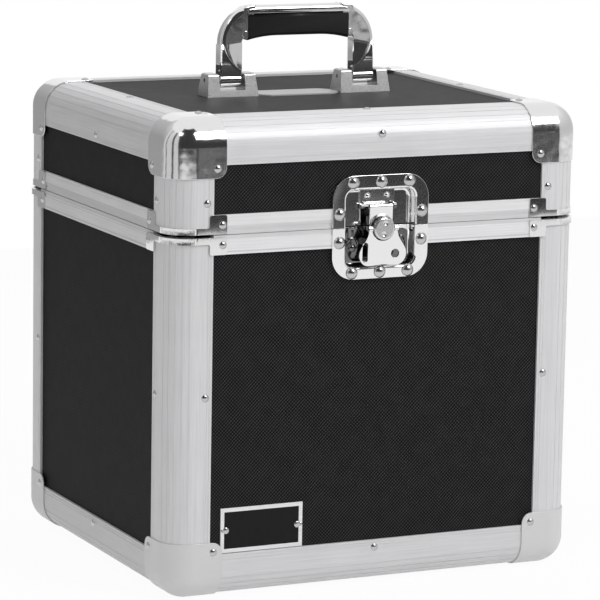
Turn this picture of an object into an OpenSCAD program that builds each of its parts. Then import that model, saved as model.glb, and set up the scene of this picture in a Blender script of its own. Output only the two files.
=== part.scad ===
// Record carrying case: laminated plywood panels held in aluminium edge
// extrusions, steel corners, a hinged lid, a recessed twist latch and a
// swinging carrying handle.  Millimetres, +Z up, front face towards -Y.
// Origin: middle of the footprint, on the surface that the case stands on.

/* [Case] */
// Width over the edge extrusions, left to right
case_w = 380; // [330:1:440]
// Depth over the edge extrusions, front to back
case_d = 332; // [290:1:400]
// Height of the lower case, from the underside of its extrusions to the seam
body_h = 306.5; // [260:0.5:360]
// Height of the lid, from the seam to the top of its extrusions
lid_h = 95; // [88:0.5:130]
// Thickness of the plywood panels
panel_t = 7; // [6:0.1:8]

/* [Edge extrusions] */
// Radius of the outer edges of the case
edge_r = 23; // [20:0.5:24.5]
// Width of each visible leg of an edge extrusion
leg_w = 37.5; // [34:0.5:40]
// Thickness of the outer skin, and how far the panels lie below it
skin_t = 2.2; // [1.6:0.1:2.8]
// Thickness of the inner leg behind the panel
inner_t = 1.5; // [1.2:0.1:2.5]
// Reach of the inner leg, from the outer corner
inner_reach = 26; // [22:0.5:32]
// Distance from the outer corner to the panel slot
slot_start = 18; // [17.5:0.5:19.5]
// Thickness of the web that closes the hollow corner
web_t = 1.5; // [1:0.1:2.5]
// Distance from the outer corner at which a vertical post is cut off
post_cut = 24; // [23:0.5:30]
// Clearance at the panel edges
panel_gap = 0.2; // [0.1:0.05:0.5]
// Width of the fine grooves along the extrusions
line_w = 0.5; // [0.3:0.1:1]
// Depth of those grooves
line_d = 0.25; // [0.1:0.05:0.5]
// Distance of the outermost groove from the edge of a leg
line_in = 2.3; // [1:0.1:4]

/* [Closing rims] */
// Visible height of the closing rim on the lower case
body_rim_h = 16.3; // [14.5:0.1:20]
// Visible height of the closing rim on the lid
lid_rim_h = 16.6; // [14.5:0.1:20]
// How far the lower rim stands out past the lid
rim_proud = 0.8; // [0.4:0.1:1.2]
// Height of the inner leg of a rim
rim_inner_h = 20; // [16:0.5:26]
// Wall of a rim above or below the panel edge
rim_bridge = 2; // [1.6:0.1:3]
// Height of the stepped band beside the seam
band_h = 5; // [3:0.1:7]
// How far that band lies back
band_d = 0.5; // [0.2:0.05:1]
// Width of the closing tongue
tongue_w = 4; // [3:0.1:4.4]
// Height of the closing tongue
tongue_h = 4; // [2.5:0.1:4.5]
// Free height over the tongue
tongue_room = 1; // [0.6:0.1:2]
// Open gap between the two rims
seam_gap = 0.4; // [0.3:0.05:0.8]
// How far the lower posts stop below the seam
body_post_gap = 2; // [1:0.1:3]
// How far the lid posts stop above the seam
lid_post_gap = 0.9; // [0.5:0.1:2]

/* [Steel corners and clips] */
// Thickness of the steel corners
corner_t = 1.2; // [0.8:0.1:1.6]
// Reach of a steel corner along each edge
corner_leg = 47; // [44:0.5:52]
// Radius of the inner corner of each corner face
corner_round = 9; // [4:0.5:12]
// Thickness of the seam clips
clip_t = 1; // [0.6:0.1:1.2]
// Distance from the outer corner to the far end of a clip's tab
clip_reach = 49; // [45:0.5:55]
// Width of a clip's tab
clip_tab_w = 15.5; // [13:0.5:18]
// Height of the band that joins the two tabs of a clip
clip_band_h = 5.2; // [3.5:0.1:7]
// Radius of the tab corners of a clip
clip_round = 1.8; // [0.8:0.1:3]

/* [Rivets] */
// Head radius of the case rivets
rivet_r = 3.4; // [2.5:0.1:4]
// Head height of the case rivets
rivet_h = 1.5; // [1:0.1:1.6]
// Distance of the post rivets from the outer corner
post_rivet_in = 31.5; // [28:0.5:33]
// Height of the post rivets on the lower case, over its underside
post_rivet_z = 171; // [120:1:200]
// Height of the post rivets on the lid, over the seam
lid_post_rivet_z = 26.5; // [22:0.5:34]
// Distance of the clip rivets from the outer corner
clip_rivet_in = 45; // [43:0.5:48]
// Distance of the corner rivets from both outer edges
corner_rivet_in = 40; // [36:0.5:42]
// Distance of the rail rivets from the outer edge
rail_rivet_in = 31; // [28:0.5:33]
// Depth of the middle rivets on the front and back of the lid below its top
top_rivet_in = 17; // [12:0.5:33]

/* [Latch dish] */
// Distance of the latch from the middle of the front, to the right
latch_x = -1; // [-20:1:20]
// Width of the dish flange
dish_w = 89; // [84:0.5:96]
// Height of the dish flange
dish_h = 87.5; // [84:0.5:96]
// Corner radius of the dish flange
dish_r = 20; // [12:0.5:24]
// Thickness of the pressed dish
dish_t = 1.2; // [1:0.1:1.5]
// Width of the recess
recess_w = 64; // [60:0.5:66]
// Height of the recess
recess_h = 65; // [62:0.5:66]
// Corner radius of the recess
recess_r = 8; // [4:0.5:12]
// Depth of the recess, from the front of the flange
recess_d = 9.5; // [9:0.1:9.7]
// Distance of the outer rivet rows from the middle of the dish
dish_rivet_row = 38; // [37:0.5:40]
// Spacing of the rivets along a row
dish_rivet_pitch = 26; // [20:0.5:28]
// Height of the side rivets over or under the seam
dish_side_rivet = 12; // [8:0.5:20]
// Head radius of the latch rivets
dish_rivet_r = 5.35; // [4:0.05:5.4]
// Head height of the latch rivets
dish_rivet_h = 3; // [1.5:0.1:3]

/* [Latch mechanism] */
// Radius of the spindle's head
spindle_head_r = 9.3; // [8.5:0.1:9.6]
// How far the spindle's face stands in front of the flange
spindle_face = 7.6; // [7.2:0.1:8.5]
// Height of the spindle's head
spindle_head_h = 6; // [5.6:0.1:6.3]
// Radius of the spindle's shaft
spindle_r = 4; // [3:0.1:4.5]
// Distance of the spindle's axis below the seam
spindle_drop = 0.9; // [0:0.1:2]
// Throw of the eccentric under the hook plate
cam_throw = 2; // [1:0.1:2.4]
// Radius of the eccentric
cam_r = 7; // [6.8:0.1:8]
// Travel of the hook plate
hook_travel = 7; // [4:0.5:7]
// Width of the hook plate
hook_w = 21; // [16:0.5:24]
// Thickness of the hook plate
hook_t = 1.8; // [1.4:0.1:2]
// Height of the hook's rolled edge over the seam
hook_top = 17; // [15:0.5:18]
// Radius of the hook's rolled edge
hook_roll_r = 2; // [1.4:0.1:2]
// Radius of the keeper bar
keeper_bar_r = 1.6; // [1.2:0.1:1.8]
// Width of the keeper between its knobs
keeper_w = 28; // [26:0.5:32]
// Width across the lobes of the wing
wing_w = 45; // [41:0.5:48]
// Reach of the wing from the spindle's axis
wing_reach = 31.4; // [29:0.1:33]
// Thickness of the wing
wing_t = 1.5; // [1:0.1:1.8]
// Height of the wing's underside over the flange
wing_lift = 3.6; // [3.4:0.1:4]
// Corner radius of the wing's lobes
wing_r = 6; // [4:0.5:7]
// Radius of the round hole in the wing
wing_hole_r = 3.8; // [3:0.1:4.5]
// Distance of the round hole from the wing's right side
wing_hole_in = 11; // [9:0.1:12]
// Distance of the round hole from the wing's free end
wing_hole_up = 9.9; // [8:0.1:11]
// Length of the slot in the wing
wing_slot_l = 17; // [10:0.5:18]
// Width of the slot in the wing
wing_slot_w = 5.2; // [4:0.1:6]
// Distance of the slot from the wing's left side
wing_slot_in = 6; // [5:0.1:7]
// Distance of the slot's middle from the wing's free end
wing_slot_up = 11.9; // [11.5:0.1:13]
// Radius of the wing's cross pin
wing_pin_r = 1.2; // [1:0.1:1.3]

/* [Hinges] */
// Width of each hinge
hinge_w = 64; // [50:1:80]
// Distance of the middle of each hinge from the side of the case
hinge_in = 95; // [88:1:120]
// Height of each hinge leaf
leaf_h = 15; // [13.5:0.1:15.5]
// Thickness of a hinge leaf
leaf_t = 1.5; // [1.2:0.1:2]
// Radius of the hinge knuckles
knuckle_r = 4.25; // [3.5:0.05:4.6]
// Gap between the knuckles and the rim behind them
knuckle_gap = 0.3; // [0.2:0.05:0.6]
// Radius of the hinge pin
hinge_pin_r = 1.75; // [1.2:0.05:2]
// Radius of the rivets in a hinge leaf
leaf_rivet_r = 3; // [2:0.1:3.2]
// Head height of the rivets in a hinge leaf
leaf_rivet_h = 1.3; // [0.8:0.1:2]

/* [Handle] */
// Distance of the handle from the middle of the lid, to the right
handle_x = -2; // [-20:1:20]
// Distance of the handle behind the middle of the lid
handle_y = 4; // [-20:1:20]
// Distance between the two legs of the handle, middle to middle
handle_span = 127; // [120:1:150]
// Height of the handle over the lid panel
handle_h = 78; // [70:0.5:95]
// Width of a handle leg
hleg_w = 20; // [16:0.5:22]
// Depth of a handle leg, front to back
hleg_d = 10; // [8:0.5:12]
// Outer corner radius of the handle
bow_r = 33; // [24:0.5:36]
// Thickness of the metal strip over the grip
strip_t = 4; // [3:0.1:6]
// Depth of that strip, front to back
strip_d = 13; // [11:0.5:16]
// Length of the moulded grip
grip_l = 96; // [80:0.5:98]
// Height of the grip
grip_h = 22.5; // [18:0.5:26]
// Depth of the grip, front to back
grip_d = 20; // [16:0.5:23]
// Rounding of the grip's long edges
grip_r = 8; // [4:0.5:9]
// Width of a handle bracket at its foot
bracket_w = 48; // [44:0.5:54]
// Depth of a handle bracket at its foot
bracket_d = 23; // [20:0.5:28]
// Height of a handle bracket
bracket_h = 20; // [19:0.5:26]
// How much narrower each side of a bracket is at the top
bracket_taper = 2; // [0.5:0.1:3]
// How much the front and back of a bracket lean in
bracket_lean = 4; // [1:0.1:4.5]
// Width of the slot for the handle leg
slot_w = 24; // [23:0.5:26]
// Floor thickness of the slot
slot_floor = 5.5; // [5:0.1:6]
// Height of the handle's pivot pin over the lid panel
pivot_z = 13.5; // [13:0.1:14.5]
// Radius of the handle's pivot pin
pivot_r = 2; // [1.5:0.05:2.5]
// Radius of the barrel at the foot of a handle leg
barrel_r = 6.5; // [5.5:0.1:6.8]
// Gap between the plate and each bracket
handle_plate_gap = 0.5; // [0.3:0.1:6]
// Depth of the plate between the brackets
handle_plate_d = 34; // [24:1:40]
// Thickness of the plate between the brackets
handle_plate_t = 1.2; // [0.8:0.1:2]
// Thickness of the plate under the lid panel
backing_t = 1.5; // [1:0.1:1.5]
// Radius of the handle screws
screw_r = 2; // [1.5:0.1:2.5]

/* [Badge plate] */
// Width of the blank badge plate
badge_w = 75; // [50:1:90]
// Height of the blank badge plate
badge_h = 38; // [24:1:50]
// Thickness of the badge plate
badge_t = 0.8; // [0.5:0.1:1.2]
// Width of its raised border
badge_border = 3.3; // [2:0.1:5]
// Height of the raised border over the plate
badge_rise = 0.5; // [0.3:0.1:1]
// Head radius of the two rivets in the badge plate's border
badge_rivet_r = 1.6; // [0.8:0.1:2]
// Head height of those rivets over the border
badge_rivet_h = 0.7; // [0.3:0.1:1.5]

/* [Lining] */
// Thickness of the foam lining
foam_t = 5; // [3:0.5:6]
// How far the lining stops from the seam
foam_gap = 3; // [2:0.5:8]
// Gap between two foam sheets where they meet
foam_joint = 0.3; // [0.1:0.1:1]

/* [Hidden] */
$fn = 48;

// Walls are numbered as they are passed going round: front, right, back, left
FRONT = 0;
RIGHT = 1;
BACK = 2;
LEFT = 3;
WALLS = [FRONT, RIGHT, BACK, LEFT];
SIDES = [-1, 1];

// Heights
base_z = corner_t;
seam_z = base_z + body_h;
top_z = seam_z + lid_h;
lid_panel_z = top_z - skin_t;

// Depths below the outer skin of the extrusions
slot_far = skin_t + panel_t;
inside = slot_far + inner_t;
web_start = slot_start - web_t;

// Latch: depths are measured outwards from the front of the flange
flange_out = rim_proud + dish_t;
recess_mid = -1;
half_gap = seam_gap / 2;
dish_fit = 0.3;
dish_cut_w = recess_w + 2 * (dish_t + dish_fit);
dish_cut_top = recess_h / 2 + recess_mid + dish_t + dish_fit;
dish_cut_bottom = recess_h / 2 - recess_mid + dish_t + dish_fit;
floor_z = -recess_d;
base_plate_t = 1.8;
running = 0.05;
play = 0.2;
boss_r = spindle_r + 4;
boss_top = -4.6;
hook_back = -1.4;
hook_face = hook_back + hook_t;
cam_top = hook_back - play;
hook_play = 0.4;
pin_height = wing_lift + wing_t / 2;
wing_clear_r = spindle_head_r + 1.1;
wing_ear_l = 3.2;
knob_r = keeper_bar_r + 0.7;
keeper_bar_z = hook_face - 2 * hook_roll_r - hook_play - knob_r;
keeper_bar_y = hook_top - hook_play;

// Hinges
hinge_x = case_w / 2 - hinge_in;
hinge_out = rim_proud + knuckle_gap + knuckle_r;
knuckle_count = 5;
knuckle_l = hinge_w / knuckle_count;
knuckle_end_gap = 0.2;
leaf_relief = knuckle_r + 0.4;
leaf_gap = 0.3;
leaf_rivet_margin = 2;
leaf_rivet_row = leaf_h - leaf_rivet_r - leaf_rivet_margin;

// Handle
bow_w = handle_span + hleg_w;
bow_gap = handle_span - hleg_w;
grip_top = handle_h - strip_t;
grip_bottom = grip_top - grip_h;

function wall_len(wall) = wall % 2 == 0 ? case_w : case_d;

// ---- Placing ------------------------------------------------------------

// Frame of a wall: x along the wall, y inwards from the outer skin, z up
module at_wall(wall) {
    out = wall % 2 == 0 ? case_d / 2 : case_w / 2;
    rotate([0, 0, 90 * wall])
        translate([0, -out, 0])
            children();
}

// Frame of a vertical edge: the outer corner at the origin, the case towards +x +y
module at_edge(side_x, side_y) {
    translate([side_x * case_w / 2, side_y * case_d / 2, 0])
        mirror([side_x > 0 ? 1 : 0, 0, 0])
            mirror([0, side_y > 0 ? 1 : 0, 0])
                children();
}

// Frame of the latch: x to the right, y up from the seam, z outwards from the flange
module at_latch() {
    translate([latch_x, -case_d / 2 - flange_out, seam_z])
        rotate([90, 0, 0])
            children();
}

// Frame of the latch with the spindle's axis as z
module at_spindle() {
    at_latch()
        translate([0, -spindle_drop, 0])
            children();
}

// Frame of the handle: its middle on the surface of the lid panel
module at_handle() {
    translate([handle_x, handle_y, lid_panel_z])
        children();
}

// ---- Shapes that repeat -------------------------------------------------

// Rectangle about the origin with round corners
module round_rect(w, h, r) {
    square([w - 2 * r, h], center = true);
    square([w, h - 2 * r], center = true);
    for (x = SIDES, y = SIDES)
        translate([x * (w / 2 - r), y * (h / 2 - r)])
            circle(r);
}

// Domed rivet head, standing on z = 0
module rivet_head(r, h) {
    ball_r = (r * r + h * h) / (2 * h);
    intersection() {
        translate([0, 0, h - ball_r])
            sphere(ball_r);
        cylinder(r = r + 1, h = h + 1);
    }
}

// Rivet head on a wall, at x along the wall and height z, standing out by lift
module wall_rivet(x, z, lift) {
    translate([x, -lift, z])
        rotate([90, 0, 0])
            rivet_head(rivet_r, rivet_h);
}

// Fine grooves of an edge extrusion: two along one leg, and a fan round the corner
module edge_lines() {
    for (step = [0, 1])
        translate([leg_w - line_in - step * line_in, 0])
            square([line_w, 2 * line_d], center = true);
    translate([edge_r, edge_r])
        for (angle = [15:15:75])
            rotate(180 + angle)
                translate([edge_r, 0])
                    square([2 * line_d, line_w], center = true);
}

// Section of an edge extrusion: outer corner at the origin, legs along +x and +y
module edge_section() {
    difference() {
        union() {
            square([leg_w, skin_t]);
            square([skin_t, leg_w]);
            square([inner_reach, inside]);
            square([inside, inner_reach]);
        }
        translate([slot_start, skin_t])
            square([leg_w, panel_t]);
        translate([skin_t, slot_start])
            square([panel_t, leg_w]);
        difference() {
            translate([-1, -1])
                square(edge_r + 1);
            translate([edge_r, edge_r])
                circle(edge_r);
        }
        edge_lines();
        mirror([1, -1])
            edge_lines();
        intersection() {
            translate([edge_r, edge_r])
                circle(edge_r - inner_t);
            union() {
                square([web_start, slot_far]);
                square([slot_far, web_start]);
            }
        }
    }
}

// Vertical edge extrusion from height z0 to z1
module post(side_x, side_y, z0, z1) {
    at_edge(side_x, side_y)
        translate([0, 0, z0])
            linear_extrude(z1 - z0)
                edge_section();
}

// Edge extrusion along the foot or the top of a wall
module rail(wall, at_top) {
    run = wall_len(wall) - 2 * leg_w;
    at_wall(wall)
        translate([-run / 2, 0, at_top ? top_z : base_z])
            mirror([0, 0, at_top ? 1 : 0])
                rotate([90, 0, 90])
                    linear_extrude(run)
                        edge_section();
}

// Visible skin of a closing rim, with a band stepped back beside the seam and a fine groove
module rim_skin(proud, rim_h) {
    difference() {
        translate([-proud, half_gap])
            square([proud + skin_t, rim_h - half_gap]);
        translate([-proud - 1, -1])
            square([1 + band_d, 1 + band_h]);
        translate([-proud, rim_h - line_in])
            square([2 * line_d, line_w], center = true);
    }
}

// Section of the lower closing rim: x inwards, y away from the seam
module body_rim_section() {
    rim_skin(rim_proud, body_rim_h);
    translate([slot_far, half_gap])
        square([inner_t, rim_inner_h - half_gap]);
    translate([0, half_gap])
        square([slot_far, rim_bridge]);
    translate([skin_t + (panel_t - tongue_w) / 2, -tongue_h])
        square([tongue_w, tongue_h + half_gap]);
}

// Section of the lid's closing rim, with the groove that takes the tongue
module lid_rim_section() {
    rim_skin(0, lid_rim_h);
    translate([slot_far, half_gap])
        square([inner_t, rim_inner_h - half_gap]);
    translate([0, tongue_h + tongue_room])
        square([slot_far, rim_bridge]);
}

// Space that the latch dish needs through the rims and front panels
module dish_cut() {
    at_latch()
        translate([-dish_cut_w / 2, -dish_cut_bottom, -flange_out - slot_far])
            cube([dish_cut_w, dish_cut_bottom + dish_cut_top, slot_far + flange_out]);
}

// Closing rim along a wall
module body_rim(wall) {
    run = wall_len(wall) - 2 * leg_w;
    at_wall(wall)
        translate([-run / 2, 0, seam_z])
            rotate([90, 0, 90])
                linear_extrude(run)
                    mirror([0, 1])
                        body_rim_section();
}

module lid_rim(wall) {
    run = wall_len(wall) - 2 * leg_w;
    at_wall(wall)
        translate([-run / 2, 0, seam_z])
            rotate([90, 0, 90])
                linear_extrude(run)
                    lid_rim_section();
}

// Plywood panel of a wall from height z0 to z1
module wall_panel(wall, z0, z1) {
    run = wall_len(wall) - 2 * (slot_start + panel_gap);
    at_wall(wall)
        translate([-run / 2, skin_t, z0])
            cube([run, panel_t, z1 - z0]);
}

module body_wall_panel(wall) {
    wall_panel(wall, base_z + slot_start + panel_gap, seam_z - half_gap - rim_bridge);
}

module lid_wall_panel(wall) {
    wall_panel(wall, seam_z + tongue_h + tongue_room + rim_bridge, top_z - slot_start - panel_gap);
}

// Bottom or top panel, its lower face at height z
module flat_panel(z) {
    w = case_w - 2 * (slot_start + panel_gap);
    d = case_d - 2 * (slot_start + panel_gap);
    translate([-w / 2, -d / 2, z])
        cube([w, d, panel_t]);
}

// One flat face of a steel corner, its far corner rounded
module corner_face() {
    reach = corner_leg - edge_r;
    translate([edge_r, edge_r, -corner_t])
        linear_extrude(corner_t)
            difference() {
                square(reach);
                difference() {
                    translate([reach - corner_round, reach - corner_round])
                        square(corner_round + 1);
                    translate([reach - corner_round, reach - corner_round])
                        circle(corner_round);
                }
            }
}

// Quarter-round strip of a steel corner along x
module corner_bend() {
    translate([edge_r, 0, 0])
        rotate([90, 0, 90])
            linear_extrude(corner_leg - edge_r)
                translate([edge_r, edge_r])
                    intersection() {
                        difference() {
                            circle(edge_r + corner_t);
                            circle(edge_r);
                        }
                        translate([-edge_r - corner_t, -edge_r - corner_t])
                            square(edge_r + corner_t);
                    }
}

// Pressed steel corner: outer corner of the case at the origin, case towards +x +y +z
module steel_corner() {
    translate([edge_r, edge_r, edge_r])
        intersection() {
            difference() {
                sphere(edge_r + corner_t);
                sphere(edge_r);
            }
            translate([-2 * edge_r, -2 * edge_r, -2 * edge_r])
                cube(2 * edge_r);
        }
    corner_bend();
    mirror([1, -1, 0])
        corner_bend();
    mirror([1, 0, -1])
        corner_bend();
    corner_face();
    mirror([1, 0, -1])
        corner_face();
    mirror([0, 1, -1])
        corner_face();
}

// Outline of a clip on one face: x from the outer corner, y away from the seam
module clip_outline(tab_h) {
    tab_start = clip_reach - clip_tab_w;
    translate([edge_r, 0])
        square([clip_reach - clip_round - edge_r, clip_band_h]);
    translate([tab_start + clip_tab_w / 2, tab_h / 2])
        round_rect(clip_tab_w, tab_h, clip_round);
    translate([tab_start - clip_round, clip_band_h])
        difference() {
            square(clip_round + 0.5);
            translate([0, clip_round])
                circle(clip_round);
        }
}

// Steel clip round a vertical edge at the seam, of thickness t
module seam_clip(tab_h, t) {
    rotate([90, 0, 0])
        linear_extrude(t)
            clip_outline(tab_h);
    mirror([1, -1, 0])
        rotate([90, 0, 0])
            linear_extrude(t)
                clip_outline(tab_h);
    translate([edge_r, edge_r, 0])
        linear_extrude(clip_band_h)
            intersection() {
                difference() {
                    circle(edge_r + t);
                    circle(edge_r);
                }
                translate([-edge_r - t, -edge_r - t])
                    square(edge_r + t);
            }
}

// ---- Lower case ---------------------------------------------------------

module bottom_panel() {
    color("#202020")
        flat_panel(base_z + skin_t);
}

module front_panel() {
    color("#202020")
        difference() {
            body_wall_panel(FRONT);
            dish_cut();
        }
}

module back_panel() {
    color("#202020")
        body_wall_panel(BACK);
}

module left_panel() {
    color("#202020")
        body_wall_panel(LEFT);
}

module right_panel() {
    color("#202020")
        body_wall_panel(RIGHT);
}

module body_post(side_x, side_y) {
    color("#d8d8d8")
        post(side_x, side_y, base_z + post_cut, seam_z - body_post_gap);
}

module bottom_rail(wall) {
    color("#dcdcdc")
        rail(wall, false);
}

module body_front_rim() {
    color("#e2e2e2")
        difference() {
            body_rim(FRONT);
            dish_cut();
        }
}

module body_plain_rim(wall) {
    color("#e2e2e2")
        body_rim(wall);
}

module bottom_corners() {
    color("#c9ccd0")
        for (x = SIDES, y = SIDES)
            at_edge(x, y)
                translate([0, 0, base_z])
                    steel_corner();
}

module body_seam_clips() {
    clip_top = seam_z - body_post_gap;
    color("#b9bcc0")
        for (x = SIDES, y = SIDES)
            at_edge(x, y)
                difference() {
                    translate([0, 0, clip_top])
                        mirror([0, 0, 1])
                            seam_clip(body_rim_h - body_post_gap, rim_proud + clip_t);
                    translate([leg_w, -rim_proud, seam_z - 2 * body_rim_h])
                        cube([clip_reach, rim_proud + 1, 2 * body_rim_h]);
                    translate([-rim_proud, leg_w, seam_z - 2 * body_rim_h])
                        cube([rim_proud + 1, clip_reach, 2 * body_rim_h]);
                }
}

// Rivet heads of one wall of the lower case
module body_wall_rivets(wall) {
    half = wall_len(wall) / 2;
    at_wall(wall) {
        for (side = SIDES) {
            wall_rivet(side * (half - post_rivet_in), base_z + post_rivet_z, 0);
            wall_rivet(side * (half - corner_rivet_in), base_z + corner_rivet_in, corner_t);
            wall_rivet(side * (half - clip_rivet_in), seam_z - body_rim_h / 2, rim_proud + clip_t);
        }
        wall_rivet(0, base_z + rail_rivet_in, 0);
    }
}

// Rivet heads of a hinge leaf: out is the leaf's outer face, z the row's height
module leaf_rivets(out, z) {
    at_wall(BACK)
        for (side = SIDES, step = [-1, 0, 1])
            translate([side * hinge_x + step * hinge_w / 3, -out, z])
                rotate([90, 0, 0])
                    rivet_head(leaf_rivet_r, leaf_rivet_h);
}

// Rivet heads of one half of the latch dish: up is 1 for the lid, -1 for the case
module dish_rivets(up) {
    at_latch() {
        for (step = [-1, 0, 1])
            translate([step * dish_rivet_pitch, up * dish_rivet_row, 0])
                rivet_head(dish_rivet_r, dish_rivet_h);
        for (side = SIDES)
            translate([side * dish_rivet_row, up * dish_side_rivet, 0])
                rivet_head(dish_rivet_r, dish_rivet_h);
    }
}

module body_rivets() {
    color("#c4c4c4") {
        for (wall = WALLS)
            body_wall_rivets(wall);
        leaf_rivets(rim_proud + leaf_t, seam_z - leaf_rivet_row);
        dish_rivets(-1);
        at_badge()
            for (side = SIDES)
                translate([side * (badge_w - badge_border) / 2, 0, badge_t + badge_rise])
                    rivet_head(badge_rivet_r, badge_rivet_h);
    }
}

// Foam sheets on the walls from height z0 to z1; those on the sides lie between the others
module wall_pads(z0, z1) {
    for (wall = WALLS)
        let (run = wall_len(wall) - 2 * inside - (wall % 2 == 0 ? 0 : 2 * (foam_t + foam_joint)))
            at_wall(wall)
                translate([-run / 2, inside, z0])
                    cube([run, foam_t, z1 - z0]);
}

// Foam sheet over the whole floor or ceiling, its lower face at height z
module flat_pad(z) {
    translate([inside - case_w / 2, inside - case_d / 2, z])
        cube([case_w - 2 * inside, case_d - 2 * inside, foam_t]);
}

module body_lining() {
    color("#2b2b2e") {
        flat_pad(base_z + inside);
        wall_pads(base_z + inside + foam_t + foam_joint, seam_z - foam_gap);
    }
}

// Frame of the badge plate: its middle on the front panel, z outwards
module at_badge() {
    edge_gap = 0.5;
    translate([
        corner_leg + edge_gap + badge_w / 2 - case_w / 2,
        skin_t - case_d / 2,
        base_z + leg_w + edge_gap + badge_h / 2
    ])
        rotate([90, 0, 0])
            children();
}

module badge_plate() {
    color("#3a3a3a")
        at_badge() {
            linear_extrude(badge_t)
                square([badge_w, badge_h], center = true);
            linear_extrude(badge_t + badge_rise)
                difference() {
                    square([badge_w, badge_h], center = true);
                    square([badge_w - 2 * badge_border, badge_h - 2 * badge_border], center = true);
                }
        }
}

// ---- Latch --------------------------------------------------------------

// Half space of the latch above (up = 1) or below (up = -1) the seam
module latch_half(up) {
    span = 2 * dish_w;
    translate([-span / 2, up > 0 ? half_gap : -span - half_gap, -span / 2])
        cube([span, span, span]);
}

// Whole pressed dish: flange with a turned edge, walls and floor
module dish(rim_h) {
    lip_d = rim_proud + skin_t;
    translate([0, 0, -dish_t])
        linear_extrude(dish_t)
            difference() {
                round_rect(dish_w, dish_h, dish_r);
                translate([0, recess_mid])
                    round_rect(recess_w, recess_h, recess_r);
            }
    difference() {
        translate([0, 0, -dish_t - lip_d])
            linear_extrude(lip_d)
                difference() {
                    round_rect(dish_w, dish_h, dish_r);
                    round_rect(dish_w - 2 * dish_t, dish_h - 2 * dish_t, dish_r - dish_t);
                }
        cube([2 * dish_w, 2 * rim_h + 0.4, 4 * lip_d], center = true);
    }
    translate([0, recess_mid, floor_z - dish_t])
        linear_extrude(recess_d)
            difference() {
                round_rect(recess_w + 2 * dish_t, recess_h + 2 * dish_t, recess_r + dish_t);
                round_rect(recess_w, recess_h, recess_r);
            }
    translate([0, recess_mid, floor_z - dish_t])
        linear_extrude(dish_t)
            round_rect(recess_w + 2 * dish_t, recess_h + 2 * dish_t, recess_r + dish_t);
}

module latch_dish_lower() {
    color("#cfd2d6")
        at_latch()
            intersection() {
                dish(body_rim_h);
                latch_half(-1);
            }
}

module latch_dish_upper() {
    color("#8d9196")
        at_latch()
            intersection() {
                dish(lid_rim_h);
                latch_half(1);
            }
}

// Stamped plate on the floor of the lower dish, with the bearing of the spindle
module latch_base() {
    margin = 3;
    plate_w = recess_w - 2 * margin;
    plate_top = -4;
    plate_low = recess_mid - recess_h / 2 + margin + 0.5;
    plate_r = 3;
    guide_t = 2;
    guide_h = 6;
    guide_x = hook_w / 2 + hook_play - 0.1;
    rivet_x = plate_w / 2 - 6;
    rivet_y = -18;
    washer_r = 5;
    washer_t = 1;
    tongue_floor = floor_z + 2 * play;
    color("#b4b7bb")
        at_latch() {
            difference() {
                union() {
                    translate([0, (plate_top + plate_low) / 2, floor_z])
                        linear_extrude(base_plate_t)
                            round_rect(plate_w, plate_top - plate_low, plate_r);
                    translate([-boss_r, plate_top - plate_r, tongue_floor])
                        cube([2 * boss_r, boss_r + plate_r - plate_top, base_plate_t - 2 * play]);
                    translate([0, -spindle_drop, tongue_floor])
                        cylinder(r = boss_r, h = boss_top - tongue_floor);
                }
                translate([0, -spindle_drop, floor_z - 1])
                    cylinder(r = spindle_r + running, h = recess_d);
            }
            for (side = SIDES) {
                translate([side * (guide_x + guide_t / 2) - guide_t / 2, rivet_y + 2, floor_z])
                    cube([guide_t, guide_h, hook_face - floor_z]);
                translate([side * rivet_x, rivet_y, floor_z + base_plate_t]) {
                    cylinder(r = washer_r, h = washer_t);
                    translate([0, 0, washer_t])
                        rivet_head(rivet_r, 2);
                }
            }
        }
}

// Turning head with two dents, a shaft in the bearing and an eccentric
module latch_spindle() {
    head_back = spindle_face - spindle_head_h;
    shaft_end = floor_z + play;
    bevel_h = 1;
    bevel_w = 0.8;
    dent_r = 1.4;
    dent_h = 0.8;
    dent_off = spindle_head_r * 0.53;
    color("#aeb1b5")
        at_spindle()
            difference() {
                union() {
                    translate([0, 0, head_back])
                        cylinder(r = spindle_head_r, h = spindle_head_h - bevel_h);
                    translate([0, 0, spindle_face - bevel_h])
                        cylinder(r1 = spindle_head_r, r2 = spindle_head_r - bevel_w, h = bevel_h);
                    translate([0, 0, shaft_end])
                        cylinder(r = spindle_r, h = head_back - shaft_end);
                    translate([0, -cam_throw, boss_top + play])
                        cylinder(r = cam_r, h = cam_top - boss_top - play);
                }
                translate([-2 * spindle_head_r, 0, pin_height])
                    rotate([0, 90, 0])
                        cylinder(r = wing_pin_r + running, h = 4 * spindle_head_r);
                for (side = SIDES)
                    translate([0, side * dent_off, spindle_face - dent_h])
                        cylinder(r = dent_r, h = 2 * dent_h);
            }
}

// Pin across the spindle's head, on which the wing folds out
module latch_wing_pin() {
    pin_l = 2 * (wing_clear_r + wing_ear_l);
    color("#8a8d91")
        at_spindle()
            translate([-pin_l / 2, 0, pin_height])
                rotate([0, 90, 0])
                    cylinder(r = wing_pin_r, h = pin_l);
}

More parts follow.
